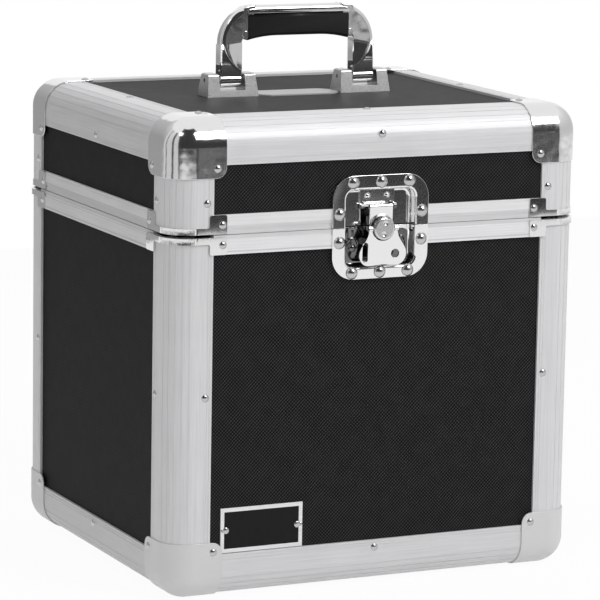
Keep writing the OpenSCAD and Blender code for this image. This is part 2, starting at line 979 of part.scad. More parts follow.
// Plate that the eccentric lifts off the keeper, rolled over at its top
module latch_hook() {
    slot_half = spindle_r + 0.3;
    slot_margin = 4;
    plate_low = -spindle_drop - slot_half - hook_travel - slot_margin;
    color("#c6c9cd")
        at_latch() {
            difference() {
                translate([-hook_w / 2, plate_low, hook_back])
                    cube([hook_w, hook_top - plate_low, hook_t]);
                translate([0, -spindle_drop, hook_back - 1])
                    cylinder(r = slot_half, h = hook_t + 2);
                translate([-slot_half, -spindle_drop - hook_travel, hook_back - 1])
                    cube([2 * slot_half, hook_travel, hook_t + 2]);
                translate([0, -spindle_drop - hook_travel, hook_back - 1])
                    cylinder(r = slot_half, h = hook_t + 2);
            }
            translate([-hook_w / 2, hook_top, hook_face - hook_roll_r])
                rotate([0, 90, 0])
                    cylinder(r = hook_roll_r, h = hook_w);
        }
}

// Keeper on the floor of the upper dish: a plate, two lugs and a bar with knobs
module latch_keeper() {
    plate_t = 1.2;
    plate_low = keeper_bar_y + keeper_bar_r;
    plate_h = 12;
    plate_wing = 2;
    lug_w = 2.4;
    lug_low = 1;
    knob_w = 2.6;
    rivet_x = keeper_w / 2 - 5;
    rivet_y = plate_low + 7;
    color("#74777b")
        at_latch() {
            translate([-keeper_w / 2 - plate_wing, plate_low, floor_z])
                cube([keeper_w + 2 * plate_wing, plate_h, plate_t]);
            for (side = SIDES) {
                translate([side * (keeper_w / 2 - lug_w / 2) - lug_w / 2, keeper_bar_y - lug_low, floor_z])
                    cube([lug_w, lug_low + keeper_bar_r + 2, keeper_bar_z - floor_z]);
                translate([side * (keeper_w / 2 + knob_w / 2) - knob_w / 2, keeper_bar_y, keeper_bar_z])
                    rotate([0, 90, 0])
                        cylinder(r = knob_r, h = knob_w);
                translate([side * rivet_x, rivet_y, floor_z + plate_t])
                    rivet_head(2.7, 1.6);
            }
            translate([-keeper_w / 2, keeper_bar_y, keeper_bar_z])
                rotate([0, 90, 0])
                    cylinder(r = keeper_bar_r, h = keeper_w);
        }
}

// Outline of the wing, its fold axis along x at the origin
module wing_outline() {
    lobe_x = wing_w / 2 - wing_r;
    lobe_y = wing_reach - wing_r;
    ear_x = wing_clear_r + wing_ear_l - 0.2;
    ear_low = 5;
    shoulder = 17;
    polygon([
        [-ear_x, 0], [-ear_x, -ear_low], [-wing_w / 2, -shoulder], [-wing_w / 2, -lobe_y],
        [-lobe_x, -wing_reach], [lobe_x, -wing_reach],
        [wing_w / 2, -lobe_y], [wing_w / 2, -shoulder], [ear_x, -ear_low], [ear_x, 0]
    ]);
    for (side = SIDES)
        translate([side * lobe_x, -lobe_y])
            circle(wing_r);
}

// Folding finger wing with two knuckles beside the spindle's head
module latch_wing() {
    ear_r = 2.3;
    ear_start = spindle_head_r + hook_play;
    deep = 2 * wing_lift + wing_t;
    color("#d6d9dc")
        at_spindle()
            difference() {
                union() {
                    translate([0, 0, wing_lift])
                        linear_extrude(wing_t)
                            wing_outline();
                    for (side = SIDES)
                        translate([side * (ear_start + wing_ear_l / 2) - wing_ear_l / 2, 0, pin_height])
                            rotate([0, 90, 0])
                                cylinder(r = ear_r, h = wing_ear_l);
                }
                translate([0, 0, wing_lift - 1])
                    cylinder(r = wing_clear_r, h = wing_t + 2);
                translate([-wing_w, 0, pin_height])
                    rotate([0, 90, 0])
                        cylinder(r = wing_pin_r + running, h = 2 * wing_w);
                translate([wing_w / 2 - wing_hole_in, wing_hole_up - wing_reach, 0])
                    cylinder(r = wing_hole_r, h = deep);
                translate([wing_slot_in - wing_w / 2, wing_slot_up - wing_reach, 0])
                    linear_extrude(deep)
                        round_rect(wing_slot_w, wing_slot_l, wing_slot_w / 2 - 0.1);
            }
}

// ---- Hinges -------------------------------------------------------------

// Frame of a hinge: x along its axis, y inwards and z up from the axis
module at_hinge(side) {
    at_wall(BACK)
        translate([side * hinge_x, -hinge_out, seam_z])
            children();
}

// Knuckle number i of a hinge, with half of the block that ties it to its leaf
module knuckle(i, up, face) {
    x0 = -hinge_w / 2 + i * knuckle_l + knuckle_end_gap;
    long = knuckle_l - 2 * knuckle_end_gap;
    block_h = 3.5;
    difference() {
        union() {
            translate([x0, 0, 0])
                rotate([0, 90, 0])
                    cylinder(r = knuckle_r, h = long);
            translate([x0, 0, up > 0 ? leaf_gap : -block_h])
                cube([long, face, block_h - leaf_gap]);
        }
        translate([x0 - 1, 0, 0])
            rotate([0, 90, 0])
                cylinder(r = hinge_pin_r + running, h = long + 2);
    }
}

// Leaf on a face at distance face from the axis; first is 0 or 1, its first knuckle
module hinge_leaf(first, up, face) {
    for (i = [first:2:knuckle_count - 1])
        knuckle(i, up, face);
    difference() {
        translate([-hinge_w / 2, face - leaf_t, up > 0 ? leaf_gap : -leaf_h])
            cube([hinge_w, leaf_t, leaf_h - leaf_gap]);
        for (i = [1 - first:2:knuckle_count - 1])
            translate([-hinge_w / 2 + i * knuckle_l - knuckle_end_gap, face - 2 * leaf_t, -leaf_relief])
                cube([knuckle_l + 2 * knuckle_end_gap, 3 * leaf_t, 2 * leaf_relief]);
    }
}

module hinge_body_leaves() {
    color("#a9acb0")
        for (side = SIDES)
            at_hinge(side)
                hinge_leaf(0, -1, hinge_out - rim_proud);
}

module hinge_lid_leaves() {
    color("#b2b5b9")
        for (side = SIDES)
            at_hinge(side)
                hinge_leaf(1, 1, hinge_out);
}

module hinge_pins() {
    head_t = 1;
    color("#808388")
        for (side = SIDES)
            at_hinge(side)
                rotate([0, 90, 0]) {
                    cylinder(r = hinge_pin_r, h = hinge_w, center = true);
                    for (end = SIDES)
                        translate([0, 0, end * (hinge_w / 2 + head_t / 2)])
                            cylinder(r = hinge_pin_r + 1.1, h = head_t, center = true);
                }
}

// ---- Lid ----------------------------------------------------------------

// Frames of the handle screws, one on each side of each bracket's slot
module at_screws() {
    at_handle()
        for (bracket = SIDES, side = SIDES)
            translate([bracket * handle_span / 2 + side * (slot_w + bracket_w) / 4, 0, 0])
                children();
}

module top_panel() {
    color("#262626")
        difference() {
            flat_panel(lid_panel_z - panel_t);
            at_screws()
                translate([0, 0, -2 * panel_t])
                    cylinder(r = screw_r + 0.1, h = 3 * panel_t);
        }
}

module lid_front_panel() {
    color("#202020")
        difference() {
            lid_wall_panel(FRONT);
            dish_cut();
        }
}

module lid_back_panel() {
    color("#202020")
        lid_wall_panel(BACK);
}

module lid_left_panel() {
    color("#202020")
        lid_wall_panel(LEFT);
}

module lid_right_panel() {
    color("#202020")
        lid_wall_panel(RIGHT);
}

module lid_posts() {
    color("#d8d8d8")
        for (x = SIDES, y = SIDES)
            post(x, y, seam_z + lid_post_gap, top_z - post_cut);
}

module top_rail(wall) {
    color("#e6e6e6")
        rail(wall, true);
}

module lid_front_rim() {
    color("#e2e2e2")
        difference() {
            lid_rim(FRONT);
            dish_cut();
        }
}

module lid_plain_rim(wall) {
    color("#e2e2e2")
        lid_rim(wall);
}

module top_corners() {
    color("#9a9da2")
        for (x = SIDES, y = SIDES)
            at_edge(x, y)
                translate([0, 0, top_z])
                    mirror([0, 0, 1])
                        steel_corner();
}

module lid_seam_clips() {
    color("#5c5f63")
        for (x = SIDES, y = SIDES)
            at_edge(x, y)
                translate([0, 0, seam_z + lid_post_gap])
                    seam_clip(lid_rim_h - lid_post_gap, clip_t);
}

// Rivet heads of one wall of the lid and of the top rail over it
module lid_wall_rivets(wall) {
    half = wall_len(wall) / 2;
    deep = wall % 2 == 0 ? top_rivet_in : rail_rivet_in;
    at_wall(wall) {
        for (side = SIDES) {
            wall_rivet(side * (half - post_rivet_in), seam_z + lid_post_rivet_z, 0);
            wall_rivet(side * (half - corner_rivet_in), top_z - corner_rivet_in, corner_t);
            wall_rivet(side * (half - clip_rivet_in), seam_z + lid_rim_h / 2, clip_t);
        }
        wall_rivet(0, top_z - deep, 0);
        translate([0, rail_rivet_in, top_z])
            rivet_head(rivet_r, rivet_h);
    }
}

module lid_rivets() {
    color("#c4c4c4") {
        for (wall = WALLS)
            lid_wall_rivets(wall);
        for (x = SIDES, y = SIDES)
            at_edge(x, y)
                translate([corner_rivet_in, corner_rivet_in, top_z + corner_t])
                    rivet_head(rivet_r, rivet_h);
        leaf_rivets(leaf_t, seam_z + leaf_rivet_row);
        dish_rivets(1);
    }
}

module lid_lining() {
    color("#2b2b2e") {
        flat_pad(top_z - inside - foam_t);
        wall_pads(seam_z + foam_gap, top_z - inside - foam_t - foam_joint);
    }
}

// ---- Handle -------------------------------------------------------------

// Tapered casting with a slot for the handle leg and a bore for its pin
module handle_bracket() {
    half_w = bracket_w / 2;
    half_d = bracket_d / 2;
    screw_off = (slot_w + bracket_w) / 4;
    difference() {
        intersection() {
            rotate([90, 0, 0])
                linear_extrude(2 * bracket_d, center = true)
                    polygon([
                        [-half_w, 0], [half_w, 0],
                        [half_w - bracket_taper, bracket_h], [bracket_taper - half_w, bracket_h]
                    ]);
            rotate([90, 0, 90])
                linear_extrude(2 * bracket_w, center = true)
                    polygon([
                        [-half_d, 0], [half_d, 0],
                        [half_d - bracket_lean, bracket_h], [bracket_lean - half_d, bracket_h]
                    ]);
        }
        translate([-slot_w / 2, -bracket_d, slot_floor])
            cube([slot_w, 2 * bracket_d, bracket_h]);
        translate([-bracket_w, 0, pivot_z])
            rotate([0, 90, 0])
                cylinder(r = pivot_r + running, h = 2 * bracket_w);
        for (side = SIDES)
            translate([side * screw_off, 0, -1])
                cylinder(r = screw_r + running, h = 1 + slot_floor + 1);
    }
}

module handle_brackets() {
    color("#a3a6aa")
        at_handle()
            for (side = SIDES)
                translate([side * handle_span / 2, 0, 0])
                    handle_bracket();
}

module handle_pins() {
    pin_l = bracket_w - 2 * bracket_taper - 0.6;
    color("#86898d")
        at_handle()
            for (side = SIDES)
                translate([side * handle_span / 2, 0, pivot_z])
                    rotate([0, 90, 0])
                        cylinder(r = pivot_r, h = pin_l, center = true);
}

// Plain pressed plate between the brackets, its corners cut off
module handle_plate() {
    half_l = (handle_span - bracket_w) / 2 - handle_plate_gap;
    half_d = handle_plate_d / 2;
    cut = 9;
    color("#d0d3d6")
        at_handle()
            linear_extrude(handle_plate_t)
                polygon([
                    [-half_l, cut - half_d], [cut - half_l, -half_d],
                    [half_l - cut, -half_d], [half_l, cut - half_d],
                    [half_l, half_d - cut], [half_l - cut, half_d],
                    [cut - half_l, half_d], [-half_l, half_d - cut]
                ]);
}

// Steel strip under the lid panel that the handle screws pull against
module handle_backing_plate() {
    plate_l = handle_span + bracket_w;
    color("#6d7074")
        difference() {
            at_handle()
                translate([-plate_l / 2, -bracket_d / 2, -panel_t - backing_t])
                    cube([plate_l, bracket_d, backing_t]);
            at_screws()
                translate([0, 0, -panel_t - backing_t])
                    cylinder(r1 = screw_r + backing_t + 0.5, r2 = screw_r + 0.5, h = backing_t);
        }
}

module handle_screws() {
    top = slot_floor;
    color("#7c7f83")
        at_screws() {
            translate([0, 0, -panel_t - backing_t])
                cylinder(r1 = screw_r + backing_t, r2 = screw_r, h = backing_t);
            translate([0, 0, -panel_t])
                cylinder(r = screw_r, h = panel_t + top);
        }
}

// Outline of the bow from the front: z = 0 at the lid panel
module bow_outline() {
    shoulder = 2;
    difference() {
        union() {
            translate([-bow_w / 2, pivot_z])
                square([bow_w, handle_h - bow_r - pivot_z]);
            translate([bow_r - bow_w / 2, pivot_z])
                square([bow_w - 2 * bow_r, handle_h - pivot_z]);
            for (side = SIDES)
                translate([side * (bow_w / 2 - bow_r), handle_h - bow_r])
                    circle(bow_r);
        }
        translate([-bow_gap / 2, 0])
            square([bow_gap, grip_bottom - shoulder]);
        translate([-grip_l / 2, 0])
            square([grip_l, grip_top]);
    }
}

// Arched metal bow, with a barrel for the pin at the foot of each leg
module handle_bow() {
    color("#c3c6ca")
        at_handle()
            difference() {
                union() {
                    rotate([90, 0, 0])
                        linear_extrude(hleg_d, center = true)
                            bow_outline();
                    translate([bow_r - bow_w / 2, -strip_d / 2, grip_top])
                        cube([bow_w - 2 * bow_r, strip_d, strip_t]);
                    for (side = SIDES)
                        translate([side * handle_span / 2, 0, pivot_z])
                            rotate([0, 90, 0])
                                cylinder(r = barrel_r, h = hleg_w, center = true);
                }
                translate([-bow_w, 0, pivot_z])
                    rotate([0, 90, 0])
                        cylinder(r = pivot_r + running, h = 2 * bow_w);
            }
}

// Soft moulded grip under the strip
module handle_grip() {
    grip_gap = 0.1;
    color("#1b1b1b")
        at_handle()
            translate([grip_gap - grip_l / 2, 0, grip_bottom + grip_h / 2 - grip_gap / 2])
                rotate([90, 0, 90])
                    linear_extrude(grip_l - 2 * grip_gap)
                        round_rect(grip_d, grip_h - grip_gap, grip_r);
}

// ---- Nodes --------------------------------------------------------------

bottom_panel();
front_panel();
back_panel();
left_panel();
right_panel();
body_post(-1, -1);  // front_left_post
body_post(1, -1);  // front_right_post
body_post(-1, 1);  // back_left_post
body_post(1, 1);  // back_right_post
bottom_rail(FRONT);  // bottom_front_rail
bottom_rail(BACK);  // bottom_back_rail
bottom_rail(LEFT);  // bottom_left_rail
bottom_rail(RIGHT);  // bottom_right_rail
body_front_rim();
body_plain_rim(BACK);  // body_back_rim
body_plain_rim(LEFT);  // body_left_rim
body_plain_rim(RIGHT);  // body_right_rim
bottom_corners();
body_seam_clips();
body_rivets();
body_lining();
badge_plate();
latch_dish_lower();
latch_base();
hinge_body_leaves();
hinge_pins();
top_panel();
lid_front_panel();
lid_back_panel();
lid_left_panel();
lid_right_panel();
lid_posts();
top_rail(FRONT);  // top_front_rail
top_rail(BACK);  // top_back_rail
top_rail(LEFT);  // top_left_rail
top_rail(RIGHT);  // top_right_rail
lid_front_rim();
lid_plain_rim(BACK);  // lid_back_rim
lid_plain_rim(LEFT);  // lid_left_rim
lid_plain_rim(RIGHT);  // lid_right_rim
top_corners();
lid_seam_clips();
lid_rivets();
lid_lining();
latch_dish_upper();
latch_keeper();
hinge_lid_leaves();
handle_brackets();
handle_pins();
handle_plate();
handle_backing_plate();
handle_screws();
latch_spindle();
latch_wing_pin();
latch_hook();
latch_wing();
handle_bow();
handle_grip();
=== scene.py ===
import math

import bmesh
import bpy
from mathutils import Matrix, Vector, noise


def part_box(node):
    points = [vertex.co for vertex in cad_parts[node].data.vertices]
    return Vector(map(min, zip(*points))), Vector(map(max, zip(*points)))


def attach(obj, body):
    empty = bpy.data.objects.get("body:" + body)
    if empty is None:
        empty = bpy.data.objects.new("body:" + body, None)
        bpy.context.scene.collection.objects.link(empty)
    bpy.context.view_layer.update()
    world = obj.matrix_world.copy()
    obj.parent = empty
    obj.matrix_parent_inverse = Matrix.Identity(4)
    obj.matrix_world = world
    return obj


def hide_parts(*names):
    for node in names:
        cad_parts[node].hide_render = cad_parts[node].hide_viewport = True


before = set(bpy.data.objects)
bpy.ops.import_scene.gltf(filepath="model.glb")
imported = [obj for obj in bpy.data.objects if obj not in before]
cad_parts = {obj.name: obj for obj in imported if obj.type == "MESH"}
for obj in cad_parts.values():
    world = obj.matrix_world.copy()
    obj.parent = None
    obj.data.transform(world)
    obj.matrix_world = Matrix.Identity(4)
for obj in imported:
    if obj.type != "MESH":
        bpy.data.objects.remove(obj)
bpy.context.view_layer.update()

# ---------------------------------------------------------------------------
# Camera. The case is seen from the front and a little from its left, from
# just above, through a long lens.
# ---------------------------------------------------------------------------
mm = 0.001
view_azimuth = math.radians(-25.295)
view_elevation = math.radians(9.994)
view_roll = math.radians(0.978)
view_distance = 3.131
aim_height = 198.2 * mm
aim_right = 4.4 * mm
aim_up = 19.0 * mm
sensor_width_mm = 36
lens_mm = 212.9

toward_camera = Vector((
    math.sin(view_azimuth) * math.cos(view_elevation),
    -math.cos(view_azimuth) * math.cos(view_elevation),
    math.sin(view_elevation)))
level_right = (-toward_camera).cross(Vector((0, 0, 1))).normalized()
level_up = toward_camera.cross(level_right)
rolled_right = level_right * math.cos(view_roll) + level_up * math.sin(view_roll)
rolled_up = level_up * math.cos(view_roll) - level_right * math.sin(view_roll)
camera_data = bpy.data.cameras.new("camera")
camera_data.sensor_width = sensor_width_mm
camera_data.lens = lens_mm
camera = bpy.data.objects.new("camera", camera_data)
camera.matrix_world = Matrix((rolled_right, rolled_up, toward_camera)).transposed().to_4x4()
camera.location = (Vector((0, 0, aim_height)) + level_right * aim_right + level_up * aim_up
                   + toward_camera * view_distance)
bpy.context.scene.collection.objects.link(camera)
bpy.context.scene.camera = camera
bpy.context.scene.view_settings.view_transform = "Standard"

# ---------------------------------------------------------------------------
# Studio. A white floor that keeps the soft shadow, under a white sky, with
# four soft lamps. Cloths hang in arcs round the case, dark in front and pale
# at its sides, and show only where bright metal mirrors them.
# ---------------------------------------------------------------------------
def node(tree, kind, inputs=None, **settings):
    """Adds a shader node with its settings, and links or sets its inputs."""
    made = tree.nodes.new("ShaderNode" + kind)
    for setting, value in settings.items():
        setattr(made, setting, value)
    for socket, value in (inputs or {}).items():
        if isinstance(value, bpy.types.NodeSocket):
            tree.links.new(value, made.inputs[socket])
        else:
            made.inputs[socket].default_value = value
    return made


def seen_directly(tree):
    """Is 1 for rays that show the background, straight or in metal, and 0 for light."""
    path = node(tree, "LightPath")
    first = node(tree, "Math", {0: path.outputs["Is Camera Ray"], 1: path.outputs["Is Glossy Ray"]},
                 operation="MAXIMUM")
    return node(tree, "Math", {0: first.outputs[0], 1: path.outputs["Is Transmission Ray"]},
                operation="MAXIMUM").outputs[0]


def put_in_scene(name, mesh):
    """Turns a finished bmesh into an object that stands at the origin."""
    data = bpy.data.meshes.new(name)
    mesh.to_mesh(data)
    mesh.free()
    made = bpy.data.objects.new(name, data)
    bpy.context.scene.collection.objects.link(made)
    return made


def add_block(mesh, low, high):
    """Adds a box between two corners, and returns its vertices."""
    made = bmesh.ops.create_cube(mesh, size=1)["verts"]
    bmesh.ops.scale(mesh, vec=high - low, verts=made)
    bmesh.ops.translate(mesh, vec=(low + high) / 2, verts=made)
    return made


def slab(name, low, high):
    """A box between two corners, as a new object."""
    mesh = bmesh.new()
    add_block(mesh, Vector(low), Vector(high))
    return put_in_scene(name, mesh)


ambient_level = 0.34
world = bpy.data.worlds.new("studio")
world.use_nodes = True
bpy.context.scene.world = world
sky = world.node_tree
sky.nodes.clear()
white = node(sky, "Background", {"Color": (1, 1, 1, 1), "Strength": 1.0})
ambient = node(sky, "Background", {"Color": (1, 1, 1, 1), "Strength": ambient_level})
shown_sky = node(sky, "MixShader", {0: seen_directly(sky), 1: ambient.outputs[0], 2: white.outputs[0]})
node(sky, "OutputWorld", {"Surface": shown_sky.outputs[0]})

floor_front = -1.965
floor_left_front = -2.5
floor_step = 0.35
floor_reach = 6.0
floor_left_edge = -1.9
floor_back_edge = 1.6
floor_bottom = -20 * mm
floor_top = -0.2 * mm
floor_grey = (0.85, 0.85, 0.85, 1)
floor_white_share = 0.95
floor = slab("floor", (floor_step, floor_front, floor_bottom), (floor_reach, floor_back_edge, floor_top))
floor_left = slab("floor_left", (floor_left_edge, floor_left_front, floor_bottom),
                  (floor_step, floor_back_edge, floor_top))
paint = bpy.data.materials.new("floor_paint")
paint.use_nodes = True
floor_tree = paint.node_tree
floor_tree.nodes.clear()
lit_floor = node(floor_tree, "BsdfDiffuse", {"Color": floor_grey})
bright_floor = node(floor_tree, "Emission", {"Color": (1, 1, 1, 1), "Strength": 1.0})
share = node(floor_tree, "Math", {0: seen_directly(floor_tree), 1: floor_white_share},
             operation="MULTIPLY")
shown_floor = node(floor_tree, "MixShader",
                   {0: share.outputs[0], 1: lit_floor.outputs[0], 2: bright_floor.outputs[0]})
node(floor_tree, "OutputMaterial", {"Surface": shown_floor.outputs[0]})
floor.data.materials.append(paint)
floor_left.data.materials.append(paint)

cloth_distance = 3.0
strip_distance = 2.9
cloth_foot = -1.5
cloth_top = 3.4
curtain_top = 3.0
curtain_crest = (1.3, 3.9)
fade_foot = 0.8
cloth_steps = 24


def hung_cloth(name, profile, first_turn, last_turn, level, level_above):
    """A glowing cloth hung in an arc round the case, whose level changes with its height."""
    mesh = bmesh.new()
    points = [mesh.verts.new((0, -out, up)) for out, up in profile]
    edges = [mesh.edges.new(pair) for pair in zip(points, points[1:])]
    bmesh.ops.rotate(mesh, cent=(0, 0, 0), verts=mesh.verts,
                     matrix=Matrix.Rotation(math.radians(first_turn), 3, "Z"))
    bmesh.ops.spin(mesh, geom=points + edges, cent=(0, 0, 0), axis=(0, 0, 1),
                   angle=math.radians(last_turn - first_turn), steps=cloth_steps)
    made = put_in_scene(name, mesh)
    cloth = bpy.data.materials.new(name + "_cloth")
    cloth.use_nodes = True
    tree = cloth.node_tree
    tree.nodes.clear()
    place = node(tree, "TexCoord")
    parts = node(tree, "SeparateXYZ", {0: place.outputs["Object"]})
    fade = node(tree, "MapRange", {"Value": parts.outputs["Z"], "From Min": fade_foot,
                                   "From Max": cloth_top, "To Min": level, "To Max": level_above})
    glow = node(tree, "Emission", {"Color": (1, 1, 1, 1), "Strength": fade.outputs[0]})
    node(tree, "OutputMaterial", {"Surface": glow.outputs[0]})
    made.data.materials.append(cloth)
    made.visible_camera = False
    made.visible_diffuse = False
    made.visible_shadow = False
    made.visible_transmission = False
    return made


plain = ((cloth_distance, cloth_foot), (cloth_distance, cloth_top))
hooded = ((cloth_distance, cloth_foot), (cloth_distance, curtain_top), curtain_crest)
strip = ((strip_distance, cloth_foot), (strip_distance, cloth_top))
left_band = ((strip_distance, -0.02), (strip_distance, 0.06))
right_band = ((strip_distance, 0.152), (strip_distance, 0.3))
middle_band = ((strip_distance, 0.148), (strip_distance, 0.166))
# Each cloth has its profile, its first and last turn in degrees, and its level below and above.
cloths = {
    "curtain": (hooded, -58, 33.5, 0.045, 0.045),
    "right_card": (plain, 33.5, 125, 0.66, 0.95),
    "grey_card": (plain, -178, -125, 0.38, 0.8),
    "left_card": (plain, -125, -58, 0.7, 0.85),
    "dark_strip": (strip, -84, -76, 0.06, 0.06),
    "thin_strip": (strip, -112, -108, 0.12, 0.12),
    "left_glow": (left_band, 18, 23.4, 0.24, 0.24),
    "right_glow": (right_band, 26, 28.4, 0.75, 0.75),
    "middle_glow": (middle_band, 21.6, 24, 0.6, 0.6),
}
hung_cloths = [hung_cloth(cloth_name, *cloth) for cloth_name, cloth in cloths.items()]

aim_point = Vector((0, 0, 0.22))
# Each lamp has its place, its width and its power in watts.
lamps = {
    "key_softbox": (Vector((1.08, -2.05, 2.18)), 1.2, 41.5),
    "fill_softbox": (Vector((-1.2, -2.1, 2.2)), 1.2, 9),
    "top_softbox": (Vector((0.0, 0.7, 3.2)), 2.2, 28),
    "side_softbox": (Vector((-1.68, -1.17, 2.4)), 0.62, 2.5),
}
for lamp_name, (lamp_place, lamp_size, lamp_watts) in lamps.items():
    lamp_data = bpy.data.lights.new(lamp_name, "AREA")
    lamp_data.shape = "SQUARE"
    lamp_data.size = lamp_size
    lamp_data.energy = lamp_watts
    lamp = bpy.data.objects.new(lamp_name, lamp_data)
    lamp.location = lamp_place
    lamp.rotation_euler = (lamp_place - aim_point).to_track_quat("Z", "Y").to_euler()
    lamp.visible_glossy = lamp_name not in ("top_softbox", "fill_softbox")
    bpy.context.scene.collection.objects.link(lamp)

# ---------------------------------------------------------------------------
# Panels. Plywood faced with a black laminate, which is embossed with small
# studs in diagonal rows. Each is slid into the grooves of its frame.
# ---------------------------------------------------------------------------
def start_finish(name, **sockets):
    """A new material, its node tree and its shader, with the given sockets set."""
    finish = bpy.data.materials.new(name)
    finish.use_nodes = True
    tree = finish.node_tree
    shader = tree.nodes["Principled BSDF"]
    for socket, value in sockets.items():
        shader.inputs[socket.replace("_", " ")].default_value = value
    return finish, tree, shader


def dress(finish, *names):
    """Gives carried-over parts their finish."""
    for name in names:
        for material_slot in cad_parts[name].material_slots:
            material_slot.material = finish


def shades(tree, height, dark, light):
    """A colour that goes from a dark to a light grey with the height of a pattern."""
    mixed = node(tree, "Mix", {0: height}, data_type="RGBA")
    mixed.inputs[6].default_value = (*dark, 1)
    mixed.inputs[7].default_value = (*light, 1)
    return mixed.outputs[2]


wave_length_at_one = math.pi / 10
weave_pitch = 2.2 * mm
worn_patch = 12 * mm
worn_least = 0.15
worn_most = 0.42
laminate_dark = (0.0025, 0.0025, 0.0026)
laminate_light = (0.056, 0.056, 0.057)
# Copies for the side and the flat panels: painted shade makes the sides darker, and painted light makes the
# top and bottom lighter.
laminate_side_painted_shade = (0.045, 0.045, 0.046)
laminate_flat_painted_light = (0.112, 0.112, 0.113)
quarter = math.pi / 2
diagonal = math.pi / 4


def laminate(name, turn, light=laminate_light):
    """Black laminate with diagonal rows of studs, patchily worn, in the plane that turn lays flat."""
    finish, tree, shader = start_finish(name, Roughness=0.6, Specular_IOR_Level=0.06)
    place = node(tree, "TexCoord")
    flat = node(tree, "Mapping", {"Vector": place.outputs["Object"], "Rotation": turn})
    scale = wave_length_at_one / weave_pitch
    rows = node(tree, "TexWave", {"Vector": flat.outputs[0], "Scale": scale}, bands_direction="X")
    studs = node(tree, "TexWave", {"Vector": flat.outputs[0], "Scale": scale}, bands_direction="Y")
    wear = node(tree, "TexNoise", {"Vector": flat.outputs[0], "Scale": 1 / worn_patch, "Detail": 2.0})
    worn = node(tree, "MapRange", {"Value": wear.outputs[0], "From Min": 0.35, "From Max": 0.65,
                                   "To Min": worn_least, "To Max": worn_most})
    raised = node(tree, "MapRange", {"Value": studs.outputs["Fac"], "To Min": worn.outputs[0],
                                     "To Max": 1.0})
    height = node(tree, "Math", {0: rows.outputs["Fac"], 1: raised.outputs[0]}, operation="MULTIPLY")
    tree.links.new(shades(tree, height.outputs[0], laminate_dark, light),
                   shader.inputs["Base Color"])
    relief = node(tree, "Bump", {"Height": height.outputs[0], "Strength": 0.5, "Distance": 0.15 * mm})
    tree.links.new(relief.outputs[0], shader.inputs["Normal"])
    return finish


dress(laminate("laminate_front", (-quarter, 0, diagonal)),
      "front_panel", "back_panel", "lid_front_panel", "lid_back_panel")
# The side panels carry painted shade, and the top and bottom panels carry painted light.
dress(laminate("laminate_side", (0, quarter, diagonal), laminate_side_painted_shade),
      "left_panel", "right_panel", "lid_left_panel", "lid_right_panel")
dress(laminate("laminate_flat", (0, 0, diagonal), laminate_flat_painted_light), "top_panel", "bottom_panel")

# ---------------------------------------------------------------------------
# Posts and rails. Rounded edge extrusions in satin anodised aluminium, drawn
# through a die, so that fine lines run along each of them.
# ---------------------------------------------------------------------------
trim_dark = (0.64, 0.64, 0.65)
trim_light = (0.76, 0.76, 0.77)
# A darker copy of the trim's greys for the rails that run front to back: painted shade on their side faces.
deep_painted_shade_dark = (0.59, 0.59, 0.60)
deep_painted_shade_light = (0.71, 0.71, 0.72)
haze_share = 0.3


def drawn_aluminium(name, stretch, dark=trim_dark, light=trim_light):
    """Satin aluminium with fine lines along the axis in which stretch is small."""
    finish, tree, shader = start_finish(name, Metallic=0.25)
    place = node(tree, "TexCoord")
    drawn = node(tree, "Mapping", {"Vector": place.outputs["Object"], "Scale": stretch})
    lines = node(tree, "TexNoise", {"Vector": drawn.outputs[0], "Scale": 900, "Detail": 3.0})
    cloud = node(tree, "TexNoise", {"Vector": place.outputs["Object"], "Scale": 25, "Detail": 2.0})
    haze = node(tree, "Math", {0: cloud.outputs[0], 1: haze_share}, operation="MULTIPLY")
    both = node(tree, "Math", {0: lines.outputs[0], 1: haze.outputs[0]}, operation="ADD")
    level = node(tree, "MapRange", {"Value": both.outputs[0], "From Min": 0.35, "From Max": 0.95})
    tree.links.new(shades(tree, level.outputs[0], dark, light), shader.inputs["Base Color"])
    dull = node(tree, "MapRange", {"Value": lines.outputs[0], "To Min": 0.42, "To Max": 0.56})
    tree.links.new(dull.outputs[0], shader.inputs["Roughness"])
    relief = node(tree, "Bump", {"Height": lines.outputs[0], "Strength": 0.25, "Distance": 0.05 * mm})
    tree.links.new(relief.outputs[0], shader.inputs["Normal"])
    return finish


along_x = (0.02, 1, 1)
along_y = (1, 0.02, 1)
along_z = (1, 1, 0.02)
dress(drawn_aluminium("aluminium_upright", along_z),
      "front_left_post", "front_right_post", "back_left_post", "back_right_post", "lid_posts")
dress(drawn_aluminium("aluminium_across", along_x),
      "bottom_front_rail", "bottom_back_rail", "top_front_rail", "top_back_rail")
# These rails carry the painted shade.
dress(drawn_aluminium("aluminium_deep", along_y, deep_painted_shade_dark, deep_painted_shade_light),
      "bottom_left_rail", "bottom_right_rail", "top_left_rail", "top_right_rail")

# ---------------------------------------------------------------------------
# Closing rims. The tongue and groove extrusions where lid and body meet, of
# the same aluminium. The front and back rims carry painted light, and every rim
# carries painted shade beside the seam and a painted highlight on its edge.
# ---------------------------------------------------------------------------
rim_dark = (0.65, 0.65, 0.66)
rim_light = (0.79, 0.79, 0.80)
# A lighter copy for the front and back rims: painted light.
lit_front_rim_dark = (0.76, 0.76, 0.77)
lit_front_rim_light = (0.90, 0.90, 0.91)
rim_seam = (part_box("body_front_rim")[1].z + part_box("lid_front_rim")[0].z) / 2
rim_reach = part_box("lid_front_rim")[1].z - rim_seam
seam_painted_shade = 0.82
# Each painted step starts at a share of the reach from the seam to the rim's edge, and has its level:
# painted shade beside the seam, the plain rim, a painted shade line, and a painted highlight on the edge.
rim_painted_steps = ((0.31, 0.98), (0.86, 0.84), (0.93, 1.0))


